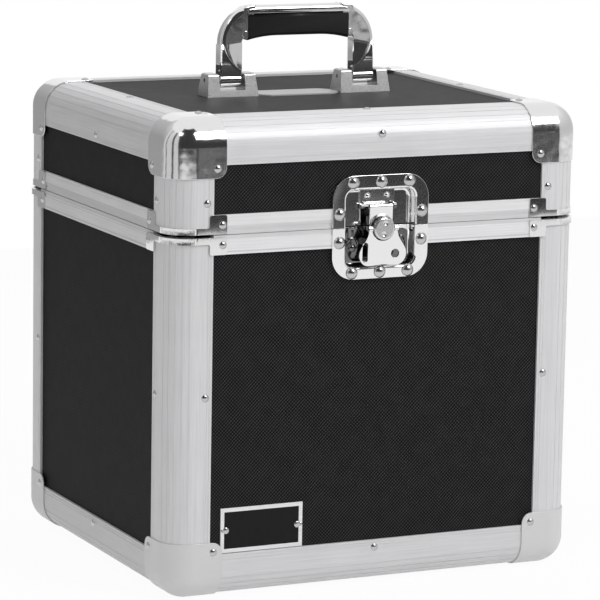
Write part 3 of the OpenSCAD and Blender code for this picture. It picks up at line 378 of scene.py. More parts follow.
def rim_aluminium(name, stretch, dark=rim_dark, light=rim_light):
    """Rim aluminium with painted shade on the step beside the seam, a painted shade line, and a painted
    highlight on the outer edge.
    """
    finish = drawn_aluminium(name, stretch, dark, light)
    tree = finish.node_tree
    shader = tree.nodes["Principled BSDF"]
    drawn_colour = shader.inputs["Base Color"].links[0].from_socket
    place = node(tree, "TexCoord")
    parts = node(tree, "SeparateXYZ", {0: place.outputs["Object"]})
    above = node(tree, "Math", {0: parts.outputs["Z"], 1: rim_seam}, operation="SUBTRACT")
    away = node(tree, "Math", {0: above.outputs[0]}, operation="ABSOLUTE")
    reached = node(tree, "Math", {0: away.outputs[0], 1: rim_reach}, operation="DIVIDE")
    steps = node(tree, "ValToRGB", {0: reached.outputs[0]})
    ramp = steps.color_ramp
    ramp.interpolation = "CONSTANT"
    ramp.elements.remove(ramp.elements[1])
    ramp.elements[0].color = (seam_painted_shade, seam_painted_shade, seam_painted_shade, 1)
    for start, level in rim_painted_steps:
        ramp.elements.new(start).color = (level, level, level, 1)
    tinted = node(tree, "Mix", {0: 1.0, 6: drawn_colour, 7: steps.outputs[0]}, data_type="RGBA",
                  blend_type="MULTIPLY")
    tree.links.new(tinted.outputs[2], shader.inputs["Base Color"])
    return finish


dress(rim_aluminium("rim_across", along_x, lit_front_rim_dark, lit_front_rim_light),
      "body_front_rim", "body_back_rim", "lid_front_rim", "lid_back_rim")
dress(rim_aluminium("rim_deep", along_y),
      "body_left_rim", "body_right_rim", "lid_left_rim", "lid_right_rim")

# ---------------------------------------------------------------------------
# Steel corners. Each is one pressing, 1.2 mm thick, that wraps three rails'
# ends. The top four are bright, so they mirror the studio, a little marbled,
# and the bottom four have a dull face.
# ---------------------------------------------------------------------------
corner_t = 1.2 * mm
corner_leg = 49.4 * mm
corner_bend = 23 * mm + corner_t
corner_round = 9 * mm
bend_steps = 20
round_steps = 8
pressed_edge = 0.35 * mm
eased_steps = 2
spare_height = 1.0
cut_slack = 1e-7
match_slack = 1e-6


def plated_steel(name, tone, roughness, ripple, ripple_size, metallic=1.0):
    """Plated steel whose face is uneven by ripple over about ripple_size."""
    finish, tree, shader = start_finish(name, Metallic=metallic, Roughness=roughness)
    place = node(tree, "TexCoord")
    waves = node(tree, "TexNoise", {"Vector": place.outputs["Object"], "Scale": 1 / ripple_size,
                                    "Detail": 2.0})
    grain = node(tree, "TexNoise", {"Vector": place.outputs["Object"], "Scale": 1500, "Detail": 2.0})
    dark = (0.86 * tone,) * 3
    light = (tone,) * 3
    tree.links.new(shades(tree, grain.outputs[0], dark, light), shader.inputs["Base Color"])
    dull = node(tree, "MapRange", {"Value": grain.outputs[0], "From Min": 0.3, "From Max": 0.7,
                                   "To Min": roughness * 0.85, "To Max": roughness * 1.2})
    tree.links.new(dull.outputs[0], shader.inputs["Roughness"])
    relief = node(tree, "Bump", {"Height": waves.outputs[0], "Strength": 1.0, "Distance": ripple})
    tree.links.new(relief.outputs[0], shader.inputs["Normal"])
    return finish


def even(piece):
    """Smooths a piece's shading, with its flat faces kept flat."""
    for face in piece.data.polygons:
        face.use_smooth = True
    evener = piece.modifiers.new("even_shading", "WEIGHTED_NORMAL")
    evener.keep_sharp = True
    return piece


def ease(piece, width, angle=35):
    """Rounds a pressed or cut piece's sharp edges and smooths its shading."""
    rounder = piece.modifiers.new("eased_edges", "BEVEL")
    rounder.width = width
    rounder.segments = eased_steps
    rounder.limit_method = "ANGLE"
    rounder.angle_limit = math.radians(angle)
    return even(piece)


def thicken(piece, thickness):
    """Gives a pressed skin its sheet thickness, inwards from its outer face."""
    wall = piece.modifiers.new("sheet", "SOLIDIFY")
    wall.thickness = thickness
    wall.offset = -1
    return piece


def stand_in(piece, part, body, finish):
    """Gives a piece its finish and its body, and stands it in a part's place."""
    piece.data.materials.clear()
    piece.data.materials.append(finish)
    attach(piece, body)
    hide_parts(part)


def round_off(mesh, items, size, segments, affect="EDGES"):
    """Rounds some of a mesh's edges or vertices."""
    bmesh.ops.bevel(mesh, geom=items, offset=size, affect=affect, segments=segments,
                    profile=0.5, material=-1)


def everything(mesh):
    """All of a mesh's vertices, edges and faces."""
    return mesh.verts[:] + mesh.edges[:] + mesh.faces[:]


def cut_away(mesh, items, at, beyond):
    """Cuts some of a mesh at a plane, clears what lies beyond it, and returns the cut."""
    return bmesh.ops.bisect_plane(mesh, geom=items, dist=cut_slack, plane_co=at, plane_no=beyond,
                                  clear_outer=True)["geom_cut"]


def join_in(mesh, part):
    """Adds a finished part to a mesh."""
    skin = bpy.data.meshes.new("part_skin")
    part.to_mesh(skin)
    part.free()
    mesh.from_mesh(skin)
    bpy.data.meshes.remove(skin)


def pressed_corner(mesh, low, high, sides):
    """Adds the outer skin of one corner of the box from low to high."""
    tip = Vector([high[axis] if sides[axis] > 0 else low[axis] for axis in range(3)])
    skin = bmesh.new()
    add_block(skin, low, high)
    round_off(skin, skin.edges[:], corner_bend, bend_steps)
    for axis in range(3):
        cut = tip.copy()
        cut[axis] -= sides[axis] * corner_leg
        inward = Vector((0, 0, 0))
        inward[axis] = -sides[axis]
        cut_away(skin, everything(skin), cut, inward)
    ends = [vert for vert in skin.verts
            if sum(abs(abs(vert.co[axis] - tip[axis]) - corner_leg) < match_slack for axis in range(3)) == 2]
    round_off(skin, ends, corner_round, round_steps, affect="VERTICES")
    join_in(mesh, skin)


polished = plated_steel("corner_plating", 0.82, 0.12, 0.42 * mm, 20 * mm)
brushed = plated_steel("foot_plating", 0.73, 0.45, 0.1 * mm, 20 * mm, metallic=0.3)
for corners, body, side_z, corner_finish in (("bottom_corners", "case", -1, brushed),
                                             ("top_corners", "lid", 1, polished)):
    low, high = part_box(corners)
    whole_low = Vector((low.x, low.y, low.z if side_z < 0 else high.z - spare_height))
    whole_high = Vector((high.x, high.y, low.z + spare_height if side_z < 0 else high.z))
    mesh = bmesh.new()
    for side_x in (-1, 1):
        for side_y in (-1, 1):
            pressed_corner(mesh, whole_low, whole_high, (side_x, side_y, side_z))
    piece = put_in_scene(corners.replace("corners", "corner_caps"), mesh)
    stand_in(piece, corners, body, corner_finish)
    ease(thicken(piece, corner_t), pressed_edge)

# ---------------------------------------------------------------------------
# Rivets. Nickel plated heads, set by machine, that hold corners, clips, frame
# and latch. They are smooth enough to mirror the lamps.
# ---------------------------------------------------------------------------
merge_distance = 0.004 * mm
flat_angle = math.radians(0.6)
rivet_edge = 0.06 * mm


def reopened(piece):
    """A piece's mesh, opened for more work."""
    mesh = bmesh.new()
    mesh.from_mesh(piece.data)
    return mesh


def put_back(mesh, piece):
    """Closes a piece's mesh again."""
    mesh.to_mesh(piece.data)
    mesh.free()


def merged_copy(part, name):
    """A part's own shape as one closed mesh, with its flat faces made whole."""
    mesh = reopened(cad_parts[part])
    bmesh.ops.remove_doubles(mesh, verts=mesh.verts, dist=merge_distance)
    bmesh.ops.dissolve_limit(mesh, angle_limit=flat_angle, verts=mesh.verts, edges=mesh.edges)
    return put_in_scene(name, mesh)


def eased(part, name, body, finish, width):
    """Stands a part's own shape, with its edges eased, in the part's place."""
    piece = merged_copy(part, name)
    stand_in(piece, part, body, finish)
    return ease(piece, width)


rivet_finish = plated_steel("rivet_plating", 0.55, 0.22, 0.004 * mm, 3 * mm)
eased("body_rivets", "body_rivet_heads", "case", rivet_finish, rivet_edge)
eased("lid_rivets", "lid_rivet_heads", "lid", rivet_finish, rivet_edge)

# ---------------------------------------------------------------------------
# Seam clips. Bent steel straps round the upright edges beside the seam, their
# narrow band crimped where it was hammered round the corner.
# ---------------------------------------------------------------------------
clip_finish = plated_steel("clip_plating", 0.8, 0.04, 0.004 * mm, 9 * mm)
crimp_finish = plated_steel("crimp_plating", 0.84, 0.26, 0.34 * mm, 4 * mm)
clip_edge = 0.3 * mm
crimp_rows = 3
crimp_size = 2.2 * mm
crimp_depth = 0.45 * mm
crimp_band = 3 * mm
bent_share = 0.12


def vertices_of(made):
    """The vertices among the things that an operator made."""
    return [item for item in made if isinstance(item, bmesh.types.BMVert)]


for part, name, body in (("body_seam_clips", "body_clips", "case"),
                         ("lid_seam_clips", "lid_clips", "lid")):
    piece = eased(part, name, body, clip_finish, clip_edge)
    piece.data.materials.append(crimp_finish)
    clips_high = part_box(part)[1]
    mesh = reopened(piece)
    crimped = []
    for face in mesh.faces:
        middle = face.calc_center_median()
        bent = abs(face.normal.x) > bent_share and abs(face.normal.y) > bent_share
        at_corner = (abs(middle.x) > clips_high.x - corner_bend
                     and abs(middle.y) > clips_high.y - corner_bend)
        if bent and at_corner:
            face.material_index = 1
            if face.normal.x * middle.x > 0 and face.normal.y * middle.y > 0:
                crimped.append(face)
    folds = [edge for edge in mesh.edges if len(edge.link_faces) == 2
             and all(face in crimped for face in edge.link_faces)
             and abs(edge.verts[0].co.z - edge.verts[1].co.z) > crimp_band]
    made = bmesh.ops.subdivide_edges(mesh, edges=folds, cuts=crimp_rows, use_grid_fill=True)
    for vert in vertices_of(made["geom_inner"]):
        dent = crimp_depth * (0.5 + 0.5 * noise.noise(vert.co / crimp_size))
        away = Vector((math.copysign(1, vert.co.x), math.copysign(1, vert.co.y), 0)).normalized()
        vert.co -= away * dent
    put_back(mesh, piece)

# ---------------------------------------------------------------------------
# Latch dish. Two pressed halves with a rounded lip round the recess, a drawn
# wall and a filleted floor. The seam between lid and body runs through it.
# ---------------------------------------------------------------------------
latch_finish = plated_steel("latch_plating", 0.86, 0.08, 0.012 * mm, 20 * mm)
dish_low, dish_seam_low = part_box("latch_dish_lower")
dish_seam_high, dish_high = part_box("latch_dish_upper")
flange_y = dish_low.y
latch_x = (dish_low.x + dish_high.x) / 2
seam_z = (dish_seam_low.z + dish_seam_high.z) / 2
dish_t = 1.2 * mm
dish_w = dish_high.x - dish_low.x
dish_h = dish_high.z - dish_low.z
dish_mid = (dish_high.z + dish_low.z) / 2
dish_round = 20 * mm
dish_turned = 4.2 * mm
dish_edge_bend = 0.5 * mm
dish_edge = 0.25 * mm
dish_edge_angle = 50
recess_w = 64 * mm
recess_h = 65 * mm
recess_mid = seam_z - 1 * mm
recess_round = 8 * mm
recess_d = 9.5 * mm
lip_bend = 2.0 * mm
floor_bend = 2.5 * mm
wall_draft = 0.3 * mm
drawn_steps = 5
outline_steps = 10
small_steps = 3
dish_lean = math.radians(0.8)
gap_from = 1.2 * mm
recess_gap = 0.55 * mm


def rounded_face(mesh, centre_z, width, height, radius):
    """The only face of a mesh: a rectangle with round corners that faces the front."""
    corners = [mesh.verts.new((latch_x + sx * width / 2, flange_y, centre_z + sz * height / 2))
               for sx, sz in ((-1, -1), (1, -1), (1, 1), (-1, 1))]
    mesh.faces.new(corners)
    round_off(mesh, corners, radius, outline_steps, affect="VERTICES")
    mesh.faces.ensure_lookup_table()
    return mesh.faces[0]


def face_front(mesh, face):
    """Turns a skin so that the given face looks to the front."""
    bmesh.ops.recalc_face_normals(mesh, faces=mesh.faces)
    if face.normal.y > 0:
        bmesh.ops.reverse_faces(mesh, faces=mesh.faces)


def step_in(mesh, face, inwards, backwards):
    """Draws a face's border one step inwards and backwards."""
    bmesh.ops.inset_region(mesh, faces=[face], thickness=inwards, depth=-backwards,
                           use_even_offset=True, use_boundary=True)


def draw_bend(mesh, face, radius, at_lip):
    """Draws a face's border round a quarter bend, at the recess's lip or at its floor."""
    for step in range(drawn_steps):
        near = quarter * step / drawn_steps
        far = quarter * (step + 1) / drawn_steps
        rise = radius * (math.sin(far) - math.sin(near))
        run = radius * (math.cos(near) - math.cos(far))
        step_in(mesh, face, rise if at_lip else run, run if at_lip else rise)


def latch_dish(half):
    """Half of the dish, above (1) or below (-1) the seam, as an open skin."""
    mesh = bmesh.new()
    outer = rounded_face(mesh, dish_mid, dish_w, dish_h, dish_round)
    bmesh.ops.delete(mesh, geom=[outer], context="FACES_ONLY")
    inner = rounded_face(mesh, recess_mid, recess_w + 2 * lip_bend, recess_h + 2 * lip_bend,
                         recess_round + lip_bend)
    bmesh.ops.bridge_loops(mesh, edges=mesh.edges[:])
    face_front(mesh, inner)
    draw_bend(mesh, inner, lip_bend, at_lip=True)
    step_in(mesh, inner, wall_draft, recess_d - lip_bend - floor_bend)
    draw_bend(mesh, inner, floor_bend, at_lip=False)
    rim = [edge for edge in mesh.edges if edge.is_boundary]
    turned = bmesh.ops.extrude_edge_only(mesh, edges=rim)["geom"]
    bmesh.ops.translate(mesh, vec=(0, dish_turned, 0), verts=vertices_of(turned))
    face_front(mesh, inner)
    round_off(mesh, [edge for edge in rim if edge.is_valid], dish_edge_bend, small_steps)
    cut_z = dish_seam_high.z if half > 0 else dish_seam_low.z
    cut_away(mesh, everything(mesh), (0, 0, cut_z), (0, 0, -half))
    sunk = [face for face in mesh.faces if face.calc_center_median().y > flange_y + gap_from
            and abs(face.calc_center_median().x - latch_x) < recess_w / 2 + gap_from]
    sunk_parts = list({item for face in sunk for item in (*face.verts, *face.edges, face)})
    cut_away(mesh, sunk_parts, (0, 0, cut_z + half * recess_gap), (0, 0, -half))
    bmesh.ops.rotate(mesh, cent=(latch_x, flange_y, cut_z), verts=mesh.verts,
                     matrix=Matrix.Rotation(-half * dish_lean, 3, "X"))
    return mesh


for part, name, body, half in (("latch_dish_lower", "dish_lower", "case", -1),
                               ("latch_dish_upper", "dish_upper", "lid", 1)):
    piece = put_in_scene(name, latch_dish(half))
    stand_in(piece, part, body, latch_finish)
    ease(thicken(piece, dish_t), dish_edge, angle=dish_edge_angle)

# ---------------------------------------------------------------------------
# Dish gap shade. A thin strip in black rubber behind the dish, put there as
# painted shade so that the seam that runs through the recess shows dark.
# ---------------------------------------------------------------------------
rubber_dark = (0.004, 0.004, 0.004)
rubber_light = (0.011, 0.011, 0.011)
shade_strip_y = flange_y + recess_d + 0.2 * mm
shade_strip_t = 1.2 * mm
shade_strip_half = 0.45 * mm
shade_strip_short = 1 * mm


def grip_rubber(name):
    """Black rubber with a fine moulded grain."""
    finish, tree, shader = start_finish(name, Roughness=0.45, Specular_IOR_Level=0.3)
    place = node(tree, "TexCoord")
    grain = node(tree, "TexNoise", {"Vector": place.outputs["Object"], "Scale": 700, "Detail": 3.0})
    tree.links.new(shades(tree, grain.outputs[0], rubber_dark, rubber_light), shader.inputs["Base Color"])
    relief = node(tree, "Bump", {"Height": grain.outputs[0], "Strength": 0.4, "Distance": 0.1 * mm})
    tree.links.new(relief.outputs[0], shader.inputs["Normal"])
    return finish


rubber_finish = grip_rubber("grip_rubber")
# A black strip behind the recess's gap: painted shade for the seam.
gap_shade_strip = slab("dish_gap_shade", (latch_x - recess_w / 2 + shade_strip_short, shade_strip_y, seam_z - shade_strip_half),
            (latch_x + recess_w / 2 - shade_strip_short, shade_strip_y + shade_strip_t, seam_z + shade_strip_half))
gap_shade_strip.data.materials.append(rubber_finish)
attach(gap_shade_strip, "case")

# ---------------------------------------------------------------------------
# Base plate. A plated steel plate on the floor of the lower dish, painted very
# dark as painted shade for the deep recess under the wing, which carries the
# spindle's bearing, two wire springs' rings and a slotted tab.
# ---------------------------------------------------------------------------
# A very dark plated steel: painted shade for the recess under the wing.
shade_painted_steel = plated_steel("latch_shade_painted_plating", 0.2, 0.12, 0.05 * mm, 8 * mm)
base_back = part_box("latch_base")[1].y
spindle_low, spindle_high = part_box("latch_spindle")
spindle_x = (spindle_low.x + spindle_high.x) / 2
spindle_z = (spindle_low.z + spindle_high.z) / 2
base_edge = 0.3 * mm
spring_r = 5.4 * mm
spring_wire = 0.7 * mm
spring_y = base_back - 2.6 * mm
spring_z = spindle_z - 14 * mm
left_spring_out = 23.5 * mm
right_spring_out = 22.5 * mm
right_spring_squeeze = 0.62
ring_steps = 32
wire_sides = 8
tab_y = base_back - 2.9 * mm
tab_t = 0.8 * mm
tab_lean = math.radians(1.8)
# The tab and its slot each run from left to right and from foot to top, off the dish's middle.
tab_border = (-26.7 * mm, -12.8 * mm, -9.4 * mm, -1.2 * mm)
tab_slot = (-24.4 * mm, -21.9 * mm, -7.4 * mm, -2.8 * mm)


def wire_ring(mesh, centre, radius, wire, squeeze=1.0):
    """Adds an upright ring of round wire that faces the front."""
    ring = bmesh.new()
    bmesh.ops.create_circle(ring, segments=wire_sides, radius=wire,
                            matrix=Matrix.Translation((radius, 0, 0)))
    bmesh.ops.spin(ring, geom=ring.verts[:] + ring.edges[:], cent=(0, 0, 0), axis=(0, 1, 0),
                   angle=2 * math.pi, steps=ring_steps, use_merge=True)
    bmesh.ops.scale(ring, vec=(squeeze, 1, 1), verts=ring.verts)
    bmesh.ops.translate(ring, vec=centre, verts=ring.verts)
    bmesh.ops.recalc_face_normals(ring, faces=ring.faces)
    join_in(mesh, ring)


def cut_plate(outlines, front, thickness):
    """A flat plate that faces the front, cut to its first outline and pierced by the others."""
    plate = bmesh.new()
    edges = []
    for outline in outlines:
        corners = [plate.verts.new((x, front, z)) for x, z in outline]
        edges += [plate.edges.new(pair) for pair in zip(corners, corners[1:] + corners[:1])]
    bmesh.ops.triangle_fill(plate, use_beauty=True, edges=edges)
    grown = bmesh.ops.extrude_face_region(plate, geom=plate.faces[:])["geom"]
    bmesh.ops.translate(plate, vec=(0, thickness, 0), verts=vertices_of(grown))
    return plate


tab_outlines = [[(latch_x + left, seam_z + foot), (latch_x + right, seam_z + foot),
                 (latch_x + right, seam_z + top), (latch_x + left, seam_z + top)]
                for left, right, foot, top in (tab_border, tab_slot)]
tab = cut_plate(tab_outlines, tab_y, tab_t)
bmesh.ops.recalc_face_normals(tab, faces=tab.faces)
bmesh.ops.rotate(tab, cent=(latch_x, tab_y, seam_z), verts=tab.verts,
                 matrix=Matrix.Rotation(tab_lean, 3, "X"))
base_plate = merged_copy("latch_base", "base_plate")
mesh = reopened(base_plate)
wire_ring(mesh, (latch_x - left_spring_out, spring_y, spring_z), spring_r, spring_wire)
wire_ring(mesh, (latch_x + right_spring_out, spring_y, spring_z), spring_r, spring_wire,
          right_spring_squeeze)
join_in(mesh, tab)
put_back(mesh, base_plate)
stand_in(base_plate, "latch_base", "case", shade_painted_steel)
ease(base_plate, base_edge)

# ---------------------------------------------------------------------------
# Keeper. A pressed steel catch, riveted into the lid's half of the dish, with
# the bar at its foot that the hook pulls down.
# ---------------------------------------------------------------------------
keeper_edge = 0.35 * mm
keeper_bar = 4.2 * mm
keeper_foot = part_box("latch_keeper")[0].z
keeper = eased("latch_keeper", "keeper", "lid", latch_finish, keeper_edge)
# The bar at its foot takes the dark steel: painted shade under the hook.
keeper.data.materials.append(shade_painted_steel)
for face in keeper.data.polygons:
    if face.center.z < keeper_foot + keeper_bar:
        face.material_index = 1

# ---------------------------------------------------------------------------
# Spindle. A turned steel spindle with an eccentric, which lifts the hook. Its
# head has two dents for a pin key, and a spring washer lies behind it.
# ---------------------------------------------------------------------------
head_finish = plated_steel("spindle_plating", 0.72, 0.26, 0.02 * mm, 6 * mm)
wing_low, wing_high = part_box("latch_wing")
spindle_edge = 0.2 * mm
head_r = 9.3 * mm
head_t = 2.2 * mm
head_overlap = 0.1 * mm
head_turns = 96
head_rings = 18
# The rounded rim of the head, as distances in from its side and back from its face.
head_rim = ((0, head_t), (0, 0.9 * mm), (0.25 * mm, 0.35 * mm), (0.9 * mm, 0.05 * mm), (1.2 * mm, 0))
dent_r = 2.4 * mm
dent_deep = 1.1 * mm
dent_out = 4.6 * mm
dent_tilt = math.radians(10)
washer_r = 11.0 * mm
washer_wire = 0.78 * mm
washer_behind = 0.83 * mm


def spindle_head():
    """The spindle's round head with its two dents."""
    head = bmesh.new()
    profile = [(head_r - inwards, back) for inwards, back in head_rim]
    flat_r = profile[-1][0]
    profile += [(flat_r * (head_rings - ring) / head_rings, 0) for ring in range(1, head_rings)]
    points = [head.verts.new((spindle_x + out, spindle_low.y + back, spindle_z)) for out, back in profile]
    line = [head.edges.new(pair) for pair in zip(points, points[1:])]
    bmesh.ops.spin(head, geom=points + line, cent=(spindle_x, 0, spindle_z), axis=(0, 1, 0),
                   angle=2 * math.pi, steps=head_turns, use_merge=True)
    bmesh.ops.holes_fill(head, edges=head.edges[:], sides=0)
    dents = [Vector((spindle_x + side * dent_out * math.sin(dent_tilt),
                     spindle_z + side * dent_out * math.cos(dent_tilt))) for side in (-1, 1)]
    for vert in head.verts:
        near = min((Vector((vert.co.x, vert.co.z)) - dent).length for dent in dents)
        if near < dent_r:
            vert.co.y += dent_deep * (1 + math.cos(math.pi * near / dent_r)) / 2
    bmesh.ops.recalc_face_normals(head, faces=head.faces)
    return head


spindle = merged_copy("latch_spindle", "spindle")
mesh = reopened(spindle)
cut = cut_away(mesh, everything(mesh), (0, spindle_low.y + head_t - head_overlap, 0), (0, -1, 0))
bmesh.ops.holes_fill(mesh, edges=[item for item in cut if isinstance(item, bmesh.types.BMEdge)], sides=0)
bmesh.ops.recalc_face_normals(mesh, faces=mesh.faces)
join_in(mesh, spindle_head())
wire_ring(mesh, (spindle_x, wing_high.y + washer_behind, spindle_z), washer_r, washer_wire)
put_back(mesh, spindle)
stand_in(spindle, "latch_spindle", "spindle", head_finish)
ease(spindle, spindle_edge)

# ---------------------------------------------------------------------------
# Hook. The wing's steel cross pin, and the pressed steel hook plate that the
# spindle slides up and down over the keeper's bar.
# ---------------------------------------------------------------------------
pin_edge = 0.2 * mm
hook_edge = 0.3 * mm
hook_lean = 1.8


def lean_back(piece, axis_y, axis_z, turn):
    """Leans a pressed piece about a level axis, as much as such a part sits off true."""
    turned = Matrix.Rotation(math.radians(turn), 4, "X")
    about = Vector((0, axis_y, axis_z))
    piece.data.transform(Matrix.Translation(about) @ turned @ Matrix.Translation(-about))


eased("latch_wing_pin", "wing_pin", "spindle", latch_finish, pin_edge)
hook = eased("latch_hook", "hook", "hook", latch_finish, hook_edge)
hook_low, hook_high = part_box("latch_hook")
lean_back(hook, (hook_low.y + hook_high.y) / 2, (hook_low.z + hook_high.z) / 2, hook_lean)

# ---------------------------------------------------------------------------
# Wing. The thumb plate that turns the spindle, stamped from steel sheet with
# a slot and a round hole. It folds out on the cross pin through its two ears.
# ---------------------------------------------------------------------------
fold_y = (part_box("latch_wing_pin")[0].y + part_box("latch_wing_pin")[1].y) / 2
wing_t = 1.5 * mm
wing_edge = 0.35 * mm
wing_lean = 1.6
wing_gap_r = 10.4 * mm
ear_w = 3.2 * mm
ear_r = (wing_high.y - wing_low.y) / 2
ear_segments = 32
hole_x = 11.5 * mm
hole_z = -21.5 * mm
hole_r = 3.8 * mm
slot_x = -16.3 * mm
slot_top = -13.7 * mm
slot_foot = -25.3 * mm
slot_r = 2.6 * mm
# Points in mm down the wing's right side, from the fork round the head to the foot's middle.
wing_side = [(13.4, 0), (13.3, -3), (14.5, -7), (16.6, -10.8), (19.2, -14.6), (21.1, -18.2), (21.7, -21.6),
             (21.2, -25), (19.4, -28.2), (16.4, -30.5), (12.5, -31.2), (8, -31.0), (4, -30.6), (0, -30.4)]
curve_steps = 5


def smooth_line(points, steps):
    """Points on a smooth curve through the given points."""
    ends = [points[0], *points, points[-1]]
    line = []
    for spots in zip(ends, ends[1:], ends[2:], ends[3:]):
        for step in range(steps):
            along = step / steps
            line.append([0.5 * (2 * first + (second - before) * along
                                + (2 * before - 5 * first + 4 * second - after) * along * along
                                + (3 * first - before - 3 * second + after) * along ** 3)
                         for before, first, second, after in zip(*spots)])
    return line + [points[-1]]


def arc_points(centre_x, centre_z, radius, first, last, steps):
    """Points along an arc, in degrees from the right, anticlockwise."""
    turns = [math.radians(first + (last - first) * step / steps) for step in range(steps + 1)]
    return [(centre_x + radius * math.cos(turn), centre_z + radius * math.sin(turn)) for turn in turns]


half_wing = [(x * mm, z * mm) for x, z in smooth_line(wing_side, curve_steps)]
fork = arc_points(0, 0, wing_gap_r, 0, -180, 36)
wing_outline = half_wing + [(-x, z) for x, z in reversed(half_wing[:-1])] + list(reversed(fork))
hole = arc_points(hole_x, hole_z, hole_r, 0, 345, 23)
slot = (arc_points(slot_x, slot_top, slot_r, 0, 180, 12)
        + arc_points(slot_x, slot_foot, slot_r, 180, 360, 12))
mesh = cut_plate([[(spindle_x + x, spindle_z + z) for x, z in outline]
                  for outline in (wing_outline, hole, slot)], fold_y - wing_t / 2, wing_t)
bmesh.ops.dissolve_limit(mesh, angle_limit=flat_angle, verts=mesh.verts, edges=mesh.edges)
bmesh.ops.recalc_face_normals(mesh, faces=mesh.faces)
for side in (-1, 1):
    ear_place = Matrix.Translation((spindle_x + side * (wing_gap_r + ear_w / 2), fold_y, spindle_z))
    bmesh.ops.create_cone(mesh, cap_ends=True, segments=ear_segments, radius1=ear_r, radius2=ear_r,
                          depth=ear_w, matrix=ear_place @ Matrix.Rotation(quarter, 4, "Y"))
wing = put_in_scene("wing", mesh)
stand_in(wing, "latch_wing", "wing", latch_finish)
ease(wing, wing_edge)
lean_back(wing, fold_y, spindle_z, wing_lean)

# ---------------------------------------------------------------------------
# Hinges. Two rolled steel hinges on the back, each with a leaf on the case, a
# leaf on the lid and a rod through their knuckles.
# ---------------------------------------------------------------------------
hinge_finish = plated_steel("hinge_plating", 0.75, 0.25, 0.05 * mm, 10 * mm)
hinge_edge = 0.25 * mm
eased("hinge_body_leaves", "hinge_leaves_body", "case", hinge_finish, hinge_edge)
eased("hinge_lid_leaves", "hinge_leaves_lid", "lid", hinge_finish, hinge_edge)
eased("hinge_pins", "hinge_rods", "case", hinge_finish, hinge_edge)

# ---------------------------------------------------------------------------
# Handle backing. A steel strip under the lid that spreads the handle's pull,
# and the four screws through it that hold the brackets.
# ---------------------------------------------------------------------------
dress(hinge_finish, "handle_backing_plate", "handle_screws")

# ---------------------------------------------------------------------------
# Handle bow. A strip of chrome plated steel, bent down at both ends into deep
# legs, which swing on two pins between the brackets.
# ---------------------------------------------------------------------------
bow_finish = plated_steel("handle_plating", 0.8, 0.09, 0.42 * mm, 30 * mm)
bow_low, bow_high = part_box("handle_bow")
grip_low, grip_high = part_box("handle_grip")
bow_x = (bow_low.x + bow_high.x) / 2
bow_y = (bow_low.y + bow_high.y) / 2
bow_half = (bow_high.x - bow_low.x) / 2
bow_bend = 33 * mm
bow_leg = 20 * mm
bow_strip = 7.2 * mm
bend_depth = 12.4 * mm
leg_depth = 11.2 * mm
strip_depth = 13 * mm
barrel_r = 6.5 * mm
barrel_z = bow_low.z + barrel_r
bend_x = bow_half - bow_bend
bend_z = bow_high.z - bow_bend
bend_drop = 3 * mm
bend_spread = 0.04 * mm
leg_in = bow_half - bow_leg
leg_top = bend_z - 0.3 * mm
curl_r = 3.7 * mm
curl_out = grip_high.x - bow_x + 2.2 * mm
curl_z = grip_low.z + 1.2 * mm
outer_round = 4.2 * mm
outer_steps = 6
leg_round = 1.3 * mm
inner_round = 0.8 * mm
side_slack = 0.1 * mm
bend_slack = 0.3 * mm
rod_segments = 40
bow_pin_edge = 0.3 * mm


def thick_shape(mesh, outline, depth, is_wide, wide_round):
    """Adds an upright plate cut to an outline, with a wider rounding where is_wide says so."""
    plate = bmesh.new()
    face = plate.faces.new([plate.verts.new((bow_x + x, bow_y - depth / 2, z)) for x, z in outline])
    grown = bmesh.ops.extrude_face_region(plate, geom=[face])["geom"]
    bmesh.ops.translate(plate, vec=(0, depth, 0), verts=vertices_of(grown))
    bmesh.ops.recalc_face_normals(plate, faces=plate.faces)
    borders = [edge for edge in plate.edges
               if abs(edge.verts[0].co.y - edge.verts[1].co.y) < cut_slack]
    wide = [edge for edge in borders if is_wide((edge.verts[0].co + edge.verts[1].co) / 2)]
    narrow = [edge for edge in borders if edge not in wide]
    if wide:
        round_off(plate, wide, wide_round, outer_steps)
    narrow = [edge for edge in narrow if edge.is_valid]
    if narrow:
        round_off(plate, narrow, inner_round, small_steps)
    join_in(mesh, plate)


def on_outer_bend(point):
    """Is a point on the outside of the bow's bend."""
    across = abs(point.x - bow_x)
    if across > bow_half - side_slack:
        return True
    centre_z = bend_z if point.z > bend_z + bend_drop else bend_z + bend_drop
    beyond_arc = math.hypot(across - bend_x, point.z - centre_z) > bow_bend - bend_slack
    return across > leg_in + side_slack and beyond_arc


def on_outer_leg(point):
    """Is a point on the outside of the bow's leg."""
    return abs(point.x - bow_x) > bow_half - side_slack


def rounded_rod(mesh, place, radius, length, along):
    """Adds a round rod with eased ends, turned about the given axis to lie level."""
    made = bmesh.ops.create_cone(mesh, cap_ends=True, segments=rod_segments, radius1=radius,
                                 radius2=radius, depth=length,
                                 matrix=Matrix.Translation(place) @ Matrix.Rotation(quarter, 4, along))
    ends = [edge for edge in {edge for vert in made["verts"] for edge in vert.link_edges}
            if any(len(face.verts) > 4 for face in edge.link_faces)]
    round_off(mesh, ends, inner_round, small_steps)


